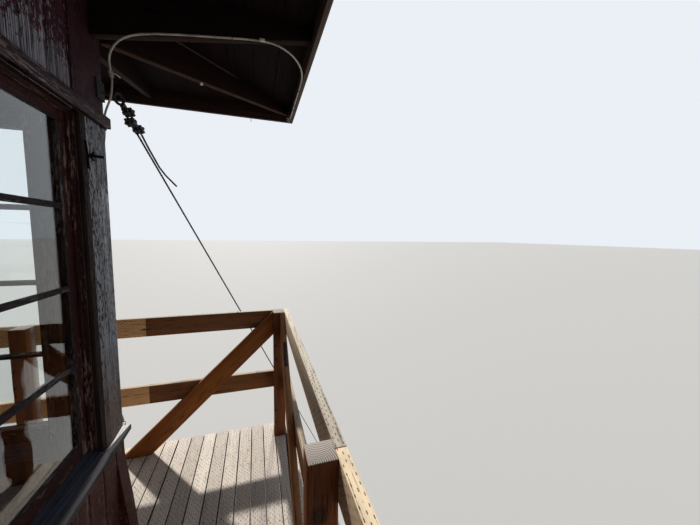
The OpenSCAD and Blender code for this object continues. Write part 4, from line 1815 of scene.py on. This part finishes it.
@dataclass
class Guys:
    """Four guys of laid strand with wire clips, turned back at both ends."""

    anchor_side: float = 0.42
    standoff: float = 0.045
    eye_mean: float = 0.024
    eye_reach: float = 0.030
    diameter: float = 0.010
    offset: float = 0.0113
    turnbuckle: float = 0.380
    tail: float = 0.43
    first_clip: float = 0.038
    clip_pitch: float = 0.040
    lay: float = 0.095
    spring: tuple[tuple[float, float], ...] = (
        (0.0, 0.0), (0.28, 0.0055), (0.62, 0.0065), (0.78, -0.004), (1.0, -0.034))

    def __post_init__(self) -> None:
        """Measures the north-east guy, from the middle of its upper eye."""
        out, half = CAB_EDGE + self.standoff, self.anchor_side / 2
        low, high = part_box("guy_eyes")
        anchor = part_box("guy_anchors")[1]
        self.eye = Vector((out, out, (low.z + high.z) / 2))
        self.run = Vector((anchor.x - half, anchor.y - half, anchor.z + self.eye_reach)) - self.eye
        self.length = self.run.length - self.turnbuckle

    def build(self) -> list[Piece]:
        """Makes one guy in the north-east and mirrors it to the other corners.

        Returns:
            The strands and the clips.
        """
        made = []
        for piece, name, node in ((self.strands(), "guy_strands", "guy_cables"),
                                  (self.clips(), "wire_clips", "guy_clips")):
            piece.matrix_world = self.line()
            settle(piece)
            copies = [copied(piece, name, Matrix.Diagonal((x, y, 1, 1)))
                      for x in (1, -1) for y in (1, -1)]
            bpy.data.objects.remove(piece)
            whole = smooth(joined(name, copies), 50)
            made.append(hand_over(whole, DARK_STEEL, Slot.STEEL, node))
        return made

    def line(self) -> Matrix:
        """The turn and the place that bring +Z on to the guy's own line.

        Returns:
            The matrix.
        """
        lean = Matrix.Rotation(math.acos(self.run.z / self.run.length), 4, "Y")
        heading = Matrix.Rotation(math.atan2(self.run.y, self.run.x), 4, "Z")
        return Matrix.Translation(self.eye) @ heading @ lean

    def strand(self, side: float, start: float, end: float) -> Piece:
        """Makes a straight stretch of six laid wires.

        Args:
            side: Offset of the strand from the guy's line.
            start: Where it starts, from the upper eye.
            end: Where it ends.

        Returns:
            The strand.
        """
        bpy.ops.object.select_all(action="DESELECT")
        bpy.ops.mesh.primitive_circle_add(vertices=12, radius=self.diameter / 2, fill_type="NGON")
        piece = bpy.context.object
        mesh = piece.data
        pick(piece)
        bpy.context.tool_settings.mesh_select_mode = (True, False, False)
        mesh.polygons.foreach_set("select", [False])
        mesh.edges.foreach_set("select", [False] * len(mesh.edges))
        mesh.vertices.foreach_set("select", [number % 2 == 0 for number in range(12)])
        bpy.ops.object.mode_set(mode="EDIT")
        bpy.ops.transform.resize(value=(0.74, 0.74, 1))
        bpy.ops.object.mode_set(mode="OBJECT")
        turns = (end - start) / self.lay
        modify(piece, "SCREW", axis="Z", angle=2 * math.pi * turns, screw_offset=end - start,
               steps=max(2, round(10 * turns)), render_steps=max(2, round(10 * turns)),
               use_normal_calculate=True)
        piece.location = (0, side, start)
        return settle(piece)

    def half_turn(self, middle: float, opening: float) -> Piece:
        """Makes the half turn of strand round an eye.

        Args:
            middle: Where the eye's steel is, from the upper eye.
            opening: 1 where the strand leads on towards the foot, -1 where it leads up.

        Returns:
            The half turn.
        """
        bpy.ops.object.select_all(action="DESELECT")
        bpy.ops.mesh.primitive_circle_add(vertices=10, radius=self.diameter / 2,
                                          location=(0, self.offset, middle))
        piece = settle(bpy.context.object)
        with opened(piece):
            bpy.ops.mesh.select_all(action="SELECT")
            bpy.ops.mesh.spin(steps=12, angle=opening * math.pi, center=(0, 0, middle),
                              axis=(1, 0, 0))
            bpy.ops.mesh.select_all(action="SELECT")
            bpy.ops.mesh.normals_make_consistent(inside=False)
        return piece

    def strands(self) -> Piece:
        """Makes the long strand, its two half turns and its two tails.

        Returns:
            The whole strand.
        """
        last = self.length - self.eye_mean
        first = self.eye_mean
        held = 2.2 * self.clip_pitch + self.first_clip
        pieces = [self.strand(self.offset, first, last),
                  self.half_turn(first, -1), self.half_turn(last, 1),
                  self.strand(-self.offset, first, first + held),
                  self.strand(-self.offset, last - held, last),
                  self.loose_tail(first + held, first + self.tail),
                  self.loose_tail(last - held, last - self.tail)]
        return joined("strands", pieces)

    def loose_tail(self, start: float, end: float) -> Piece:
        """Makes the end of the strand past the clips, which closes up and then springs off.

        Args:
            start: Where it leaves the clips.
            end: Where it ends.

        Returns:
            The tail.
        """
        way = end - start
        links = [rod("tail", (0, -self.offset + a[1], start + way * a[0]),
                     (0, -self.offset + b[1], start + way * b[0] * 1.004),
                     self.diameter * 0.46, 8)
                 for a, b in zip(self.spring, self.spring[1:])]
        return joined("tail", links)

    def clips(self) -> Piece:
        """Makes the three clips at each end of the strand.

        Returns:
            The six clips.
        """
        places = [self.eye_mean + self.first_clip + step * self.clip_pitch for step in range(3)]
        clip = self.clip()
        copies = [copied(clip, "clip", Matrix.Translation((0, 0, z))
                         @ Matrix.Diagonal((-1 if number % 2 else 1, 1, 1, 1)))
                  for number, z in enumerate((*places, *(self.length - z for z in places)))]
        bpy.data.objects.remove(clip)
        return joined("clips", copies)

    def clip(self) -> Piece:
        """Makes one clip: a grooved saddle, a U-bolt round both strands and two nuts.

        Returns:
            The clip.
        """
        half = self.offset + self.diameter / 2 + 0.003
        saddle = block("saddle", (-0.016, -half - 0.005, -0.0195), (-0.0015, half + 0.005, 0.0195))
        with opened(saddle, lambda middle, normal: normal.x > 0.9):
            bpy.ops.mesh.inset(thickness=0.003)
            bpy.ops.transform.translate(value=(-0.003, 0, 0))
        ease(saddle, 0.0015)
        bridge = block("bridge", (0.0015, -half, -0.008), (0.011, half, 0.008))
        ease(bridge, 0.004, 3)
        nuts = []
        for y in (-half + 0.002, half - 0.002):
            nuts.append(rod("stud", (-0.028, y, 0), (0.004, y, 0), 0.0042, 8))
            nuts.append(ease(rod("nut", (-0.023, y, 0), (-0.0145, y, 0), 0.009, 6), 0.001, 1))
        return joined("clip", (saddle, bridge, *nuts))


@dataclass
class BondingCable:
    """The grey cable along the eave and down the corner, with its staples and binding.

    Places are measured from the cab's north-east corner at deck level.
    """

    diameter: float = 0.011
    wire: float = 0.0016
    lashing: float = 0.0022
    corner_bead: float = -0.012
    beside_wall: float = 0.006
    along_eave: tuple[float, ...] = (0.33, 0.56, 0.80)
    down_corner: tuple[float, ...] = (1.75, 1.20, 0.50, 0.15)
    tilts: tuple[float, ...] = (-7, 5, 9, -4, 6)
    frayed: tuple[Place, ...] = (
        (-0.012, 0.010, -0.030), (-0.022, 0.004, -0.018), (0.002, 0.014, -0.034),
        (-0.030, -0.004, -0.006), (0.004, 0.020, -0.022), (-0.018, 0.012, 0.012),
        (-0.008, -0.012, -0.036))

    def build(self) -> list[Piece]:
        """Smooths the CAD tube and adds what holds it."""
        return [self.sheath(), self.staples(), self.binding(), self.pale_bits()]

    @staticmethod
    def sheath() -> Piece:
        """Copies the node's tube and rounds its bends.

        Returns:
            The sheath.
        """
        tube = of_node("bonding_cable", "bonding_sheath")
        with opened(tube):
            bpy.ops.mesh.remove_doubles(threshold=MERGED)
            bpy.ops.mesh.tris_convert_to_quads(face_threshold=math.radians(60),
                                               shape_threshold=math.radians(60))
        modify(tube, "SUBSURF", levels=1, render_levels=1)
        with opened(tube):
            bpy.ops.transform.shrink_fatten(value=-0.0008)
        return hand_over(smooth(tube, 60), CABLE_SHEATH, Slot.CABLE, "bonding_cable")

    def staple(self, place: Vector, along: Vector, into: Vector) -> list[Piece]:
        """Makes a wire staple over the cable.

        Args:
            place: The middle of the cable there.
            along: The cable's direction.
            into: The way to the wood behind it.

        Returns:
            Its three stretches of wire.
        """
        reach = self.diameter / 2 + self.wire
        span = along.cross(into).normalized() * reach
        crown, tip = place - into * reach, place + into * (reach + 0.002)
        return [rod("wire", crown - span, crown + span, self.wire, 6),
                rod("wire", crown + span, tip + span, self.wire, 6),
                rod("wire", crown - span, tip - span, self.wire, 6)]

    def staples(self) -> Piece:
        """Holds the cable to the fascia, the last outrigger and the corner.

        Returns:
            The staples and one nail.
        """
        east, north, up = Vector((1, 0, 0)), Vector((0, 1, 0)), Vector((0, 0, 1))
        wires = []
        for y in self.along_eave:
            wires += self.staple(spot(0.914, y, 2.608), north, east)
        wires += self.staple(spot(0.550, -0.094, 2.595), east, north)
        for z in self.down_corner:
            wires += self.staple(spot(self.corner_bead, self.beside_wall, z), up, -north)
        stub = spot(0.615, 0.932, 2.620)
        wires.append(rod("nail", stub, stub + Vector((0.004, 0.002, -0.031)), 0.002, 6))
        whole = smooth(joined("cable_staples", wires))
        return hand_over(whole, NAIL_STEEL, Slot.STEEL)

    def binding(self) -> Piece:
        """Winds a lashing round the cable where it turns down at the corner.

        Returns:
            The lashing.
        """
        middle = spot(0.0465, -0.026, 2.386)
        along = Vector((0.010, -0.050, 0.056)).normalized()
        turn = along.to_track_quat("Z", "Y").to_matrix().to_4x4()
        turns = []
        for number, degrees in enumerate(self.tilts):
            bpy.ops.object.select_all(action="DESELECT")
            bpy.ops.mesh.primitive_torus_add(major_radius=self.diameter / 2 + self.lashing * 0.8,
                                             minor_radius=self.lashing, major_segments=16,
                                             minor_segments=6)
            ring = bpy.context.object
            tilt = Matrix.Rotation(math.radians(degrees), 4, "X")
            place = Matrix.Translation(middle + along * (number - 2) * self.lashing * 2.4)
            ring.matrix_world = place @ turn @ tilt
            turns.append(settle(ring))
        stops = (middle, middle + Vector((0.012, 0.004, 0.006)), spot(0.062, 0.026, 2.398))
        turns += [rod("lash", a, b, self.lashing, 6) for a, b in zip(stops, stops[1:])]
        whole = smooth(joined("cable_binding", turns))
        return hand_over(whole, CABLE_SHEATH, Slot.CABLE)

    def pale_bits(self) -> Piece:
        """Makes the taped place, the knob under the hip and the frayed end of the cable.

        Returns:
            The three of them.
        """
        tape = spot(0.681, -0.094, 2.613)
        slant = Vector((0.012, 0, 0.0004))
        parts = [ease(rod("tape", tape - slant, tape + slant, 0.0078, 12), 0.002)]
        knob = spot(0.350, 0.350, 2.574)
        parts.append(ease(rod("knob", knob, knob - Vector((0, 0, 0.014)), 0.0085, 12), 0.003, 3))
        root = spot(0.912, 0.874, 2.628)
        for way in self.frayed:
            bend = root + Vector(way) * 0.5 + Vector((0, 0, 0.004))
            tip = root + Vector(way)
            parts += [rod("strand", root, bend, 0.0013, 5), rod("strand", bend, tip, 0.0012, 5)]
        whole = smooth(joined("cable_ends", parts))
        return hand_over(whole, PALE_TAPE, Slot.CABLE)


@dataclass
class WindowPin:
    """The slot and the forked pin on the corner board, beside the east window.

    Places are measured from the cab's north-east corner at deck level.
    """

    rods: tuple[tuple[str, Place, Place, float, int], ...] = (
        ("slot", (0, -0.161, 1.952), (0, -0.174, 2.058), 0.0062, 8),
        ("pin", (0.006, -0.166, 2.001), (0.006, -0.051, 2.023), 0.0058, 12),
        ("upper", (0.006, -0.152, 2.005), (0.008, -0.131, 2.022), 0.0036, 8),
        ("lower", (0.006, -0.152, 2.001), (0.008, -0.131, 1.990), 0.0036, 8))

    def build(self) -> list[Piece]:
        """Makes the slot, the pin and its two prongs as one piece.

        Returns:
            The piece.
        """
        rods = [rod(name, spot(*start), spot(*end), radius, sides)
                for name, start, end, radius, sides in self.rods]
        whole = smooth(joined("window_pin", rods))
        return [hand_over(whole, PIN_IRON, Slot.STEEL)]


@dataclass
class Roof:
    """Soffit boards and lapped sheets of felt on the flat roof."""

    board: float = 0.142
    gap: float = 0.002
    sheets: int = 7
    felt: float = 0.008
    seed: int = 91

    def build(self) -> list[Piece]:
        """Lays the roof boards and the felt.

        Returns:
            The boards and the felt.
        """
        low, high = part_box("roof_boards")
        count = round((high.x - low.x) / self.board)
        pitch = (high.x - low.x + self.gap) / count
        boards = block("boards", low, (low.x + pitch - self.gap, high.y, high.z))
        row(ease(boards, 0.0015, 1), count, (pitch, 0, 0))
        boards.name = "soffit_boards"
        mark_boards(boards, self.seed)
        made = [hand_over(boards, SOFFIT, Slot.SOFFIT, "roof_boards")]
        low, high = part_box("roofing")
        base = block("base", low, (high.x, high.y, high.z - self.felt))
        width = (high.y - low.y) / self.sheets
        sheet = block("sheet", (low.x, low.y, high.z - self.felt),
                      (high.x, low.y + width, high.z - self.felt / 2))
        with opened(sheet, lambda middle, normal: normal.y > 0.9):
            bpy.ops.transform.translate(value=(0, 0, self.felt / 2))
        row(sheet, self.sheets, (0, width, 0))
        felt = ease(joined("roof_felt", (base, sheet)), 0.004)
        made.append(hand_over(smooth(felt), ROOF_FELT, Slot.ROOFING, "roofing"))
        return made


@dataclass
class CabFloor:
    """Floor boards inside the cab."""

    board: float = 0.083
    gap: float = 0.001
    seed: int = 101

    def build(self) -> list[Piece]:
        """Lays the boards from wall to wall.

        Returns:
            The boards.
        """
        low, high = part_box("cab_floor")
        count = round((high.y - low.y) / self.board)
        pitch = (high.y - low.y) / count
        boards = block("boards", low, (high.x, low.y + pitch - self.gap, high.z))
        row(ease(boards, 0.001, 1), count, (0, pitch, 0))
        boards.name = "floor_boards"
        mark_boards(boards, self.seed)
        return [hand_over(boards, FLOOR_BOARDS, Slot.FLOOR, "cab_floor")]


@dataclass
class Studio:
    """The plain pale floor, the soft lights and the camera on the east catwalk."""

    focal_pixels: float = 294.07
    picture_width: int = 700
    sensor: float = 36.0
    yaw: float = 17.831
    pitch: float = 5.414
    roll: float = 0.798
    eye: Place = (0.6367, -1.6414, 1.7011)
    floor_size: float = 400.0
    floor_colour: Colour = (0.62, 0.62, 0.61)
    ambient: tuple[Colour, float] = ((0.86, 0.92, 1.0), 0.28)
    backdrop: tuple[Colour, float] = ((0.83, 0.87, 0.92), 1.0)
    key_colour: Place = (1.0, 0.96, 0.90)
    key_energy: float = 3.9
    key_spread: float = 2.5
    key_way: Place = (0.07, -1.39, -1.0)

    def build(self) -> None:
        """Sets the floor, the lights, the world and the camera."""
        bpy.context.scene.view_settings.view_transform = "Standard"
        self.floor()
        self.world()
        self.lights()
        self.camera()

    def floor(self) -> None:
        """Lays a wide pale floor under the footings."""
        bpy.ops.object.select_all(action="DESELECT")
        bpy.ops.mesh.primitive_plane_add(size=self.floor_size)
        floor = bpy.context.object
        floor.name = "floor"
        shader = Shader("pale_floor")
        shader.feed(shader.surface.inputs["Base Color"], self.floor_colour)
        shader.feed(shader.surface.inputs["Roughness"], 0.9)
        floor.data.materials.append(shader.material)

    def world(self) -> None:
        """Shows a pale background and lights the object evenly."""
        world = bpy.data.worlds.new("studio")
        bpy.context.scene.world = world
        world.use_nodes = True
        tree = world.node_tree
        tree.nodes.clear()
        path = tree.nodes.new("ShaderNodeLightPath").outputs
        seen = path["Is Camera Ray"]
        for ray in ("Is Glossy Ray", "Is Transmission Ray"):
            either = tree.nodes.new("ShaderNodeMath")
            either.operation = "MAXIMUM"
            tree.links.new(seen, either.inputs[0])
            tree.links.new(path[ray], either.inputs[1])
            seen = either.outputs[0]
        mix = tree.nodes.new("ShaderNodeMixShader")
        tree.links.new(seen, mix.inputs["Fac"])
        for number, (colour, strength) in enumerate((self.ambient, self.backdrop), 1):
            shown = tree.nodes.new("ShaderNodeBackground")
            shown.inputs["Color"].default_value = (*colour, 1.0)
            shown.inputs["Strength"].default_value = strength
            tree.links.new(shown.outputs[0], mix.inputs[number])
        out = tree.nodes.new("ShaderNodeOutputWorld")
        tree.links.new(mix.outputs[0], out.inputs["Surface"])

    def lights(self) -> None:
        """Hangs one broad soft key, as high and on the side that the sun stood."""
        data = bpy.data.lights.new("key", "SUN")
        data.energy = self.key_energy
        data.angle = math.radians(self.key_spread)
        data.color = self.key_colour
        key = bpy.data.objects.new("key", data)
        bpy.context.scene.collection.objects.link(key)
        key.rotation_mode = "QUATERNION"
        key.rotation_quaternion = Vector(self.key_way).to_track_quat("-Z", "Y")

    def camera(self) -> None:
        """Stands the camera on the east catwalk, looking north past the cab's corner."""
        data = bpy.data.cameras.new("camera")
        data.sensor_width = self.sensor
        data.lens = self.focal_pixels / self.picture_width * self.sensor
        data.clip_start = 0.02
        data.clip_end = 1000
        camera = bpy.data.objects.new("camera", data)
        bpy.context.scene.collection.objects.link(camera)
        yaw, pitch, roll = (math.radians(a) for a in (self.yaw, self.pitch, self.roll))
        ahead = Vector((math.sin(yaw) * math.cos(pitch), math.cos(yaw) * math.cos(pitch),
                        -math.sin(pitch)))
        level = Vector((math.cos(yaw), -math.sin(yaw), 0))
        upright = level.cross(ahead)
        right = math.cos(roll) * level + math.sin(roll) * upright
        up = math.cos(roll) * upright - math.sin(roll) * level
        turn = Matrix((right, up, -ahead)).transposed().to_4x4()
        camera.matrix_world = Matrix.Translation(spot(*self.eye)) @ turn
        bpy.context.scene.camera = camera


EASED = (
    EasedNode("footings", CAST_CONCRETE, Slot.CONCRETE, 0.015),
    EasedNode("guy_anchors", CAST_CONCRETE, Slot.CONCRETE, 0.012),
    EasedNode("legs", TOWER_TIMBER, Slot.TREATED, 0.006, 2),
    EasedNode("tower_braces", TOWER_TIMBER, Slot.TREATED, 0.003, 3),
    EasedNode("girders", TOWER_TIMBER, Slot.TREATED, 0.004, 4),
    EasedNode("floor_joists", TOWER_TIMBER, Slot.TREATED, 0.002, 5),
    EasedNode("rim_boards", PLANED_FIR, Slot.RAILING, 0.002, 6),
    EasedNode("mid_rails", PLANED_FIR, Slot.RAILING, 0.003, 7),
    EasedNode("railing_braces", BRACE_FIR, Slot.RAILING, 0.003, 8),
    EasedNode("window_mullions", SASH_PAINT, Slot.MAROON, 0.003, 9),
    EasedNode("drip_boards", TRIM_WOOD, Slot.BARE, 0.004, 11),
    EasedNode("fascia", EAVE_TRIM, Slot.SOFFIT, 0.003, 12),
    EasedNode("roof_outriggers", OUTRIGGER, Slot.SOFFIT, 0.003, 13),
    EasedNode("corner_outriggers", CORNER_JOIST, Slot.SOFFIT, 0.003, 14),
    *(EasedNode(f"railing_posts_{side.label}", POST_FIR, Slot.RAILING, 0.003,
                17596 if side is Side.EAST else 20 + side.value) for side in Side),
    # the east and west top rails take the paler finish, partly painted light on their inner faces
    *(EasedNode(f"top_rail_{side.label}", RAIL_CAP if side.value % 180 == 0 else BLEACHED_AND_LIT_SIDE_RAIL_CAP,
                Slot.RAILING, 0.003, 313 if side is Side.EAST else 40 + side.value)
      for side in Side),
)

KEPT = (
    ("guy_eyes", EYE_IRON, Slot.STEEL),
    ("guy_turnbuckles", DARK_STEEL, Slot.STEEL),
    ("anchor_eyes", DARK_STEEL, Slot.STEEL),
)


def dress_kept_nodes() -> None:
    """Gives the CAD nodes that show as they are their finish."""
    for name, finish, slot in KEPT:
        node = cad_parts[name]
        node.data.materials.clear()
        node.data.materials.append(material_of(finish))
        LOG.info("%s: kept", name)


def main() -> None:
    """Builds the studio and every assembly in order."""
    logging.basicConfig(level=logging.INFO, format="%(name)s %(message)s")
    Studio().build()
    dress_kept_nodes()
    for part in EASED:
        part.build()
    for assembly in (Siding("lower_wall", LOWER_SIDING),
                     Siding("upper_wall", UPPER_SIDING, first_groove=0.120, recess=0.006,
                            stop=0.232),
                     SprungBoard(), CornerPosts(), Sashes(), Sills(), Deck(), Railing(), Guys(),
                     BondingCable(), WindowPin(), Roof(), CabFloor()):
        made = assembly.build()
        LOG.info("%s: %d pieces", type(assembly).__name__, len(made))


if __name__ == "__main__":
    main()
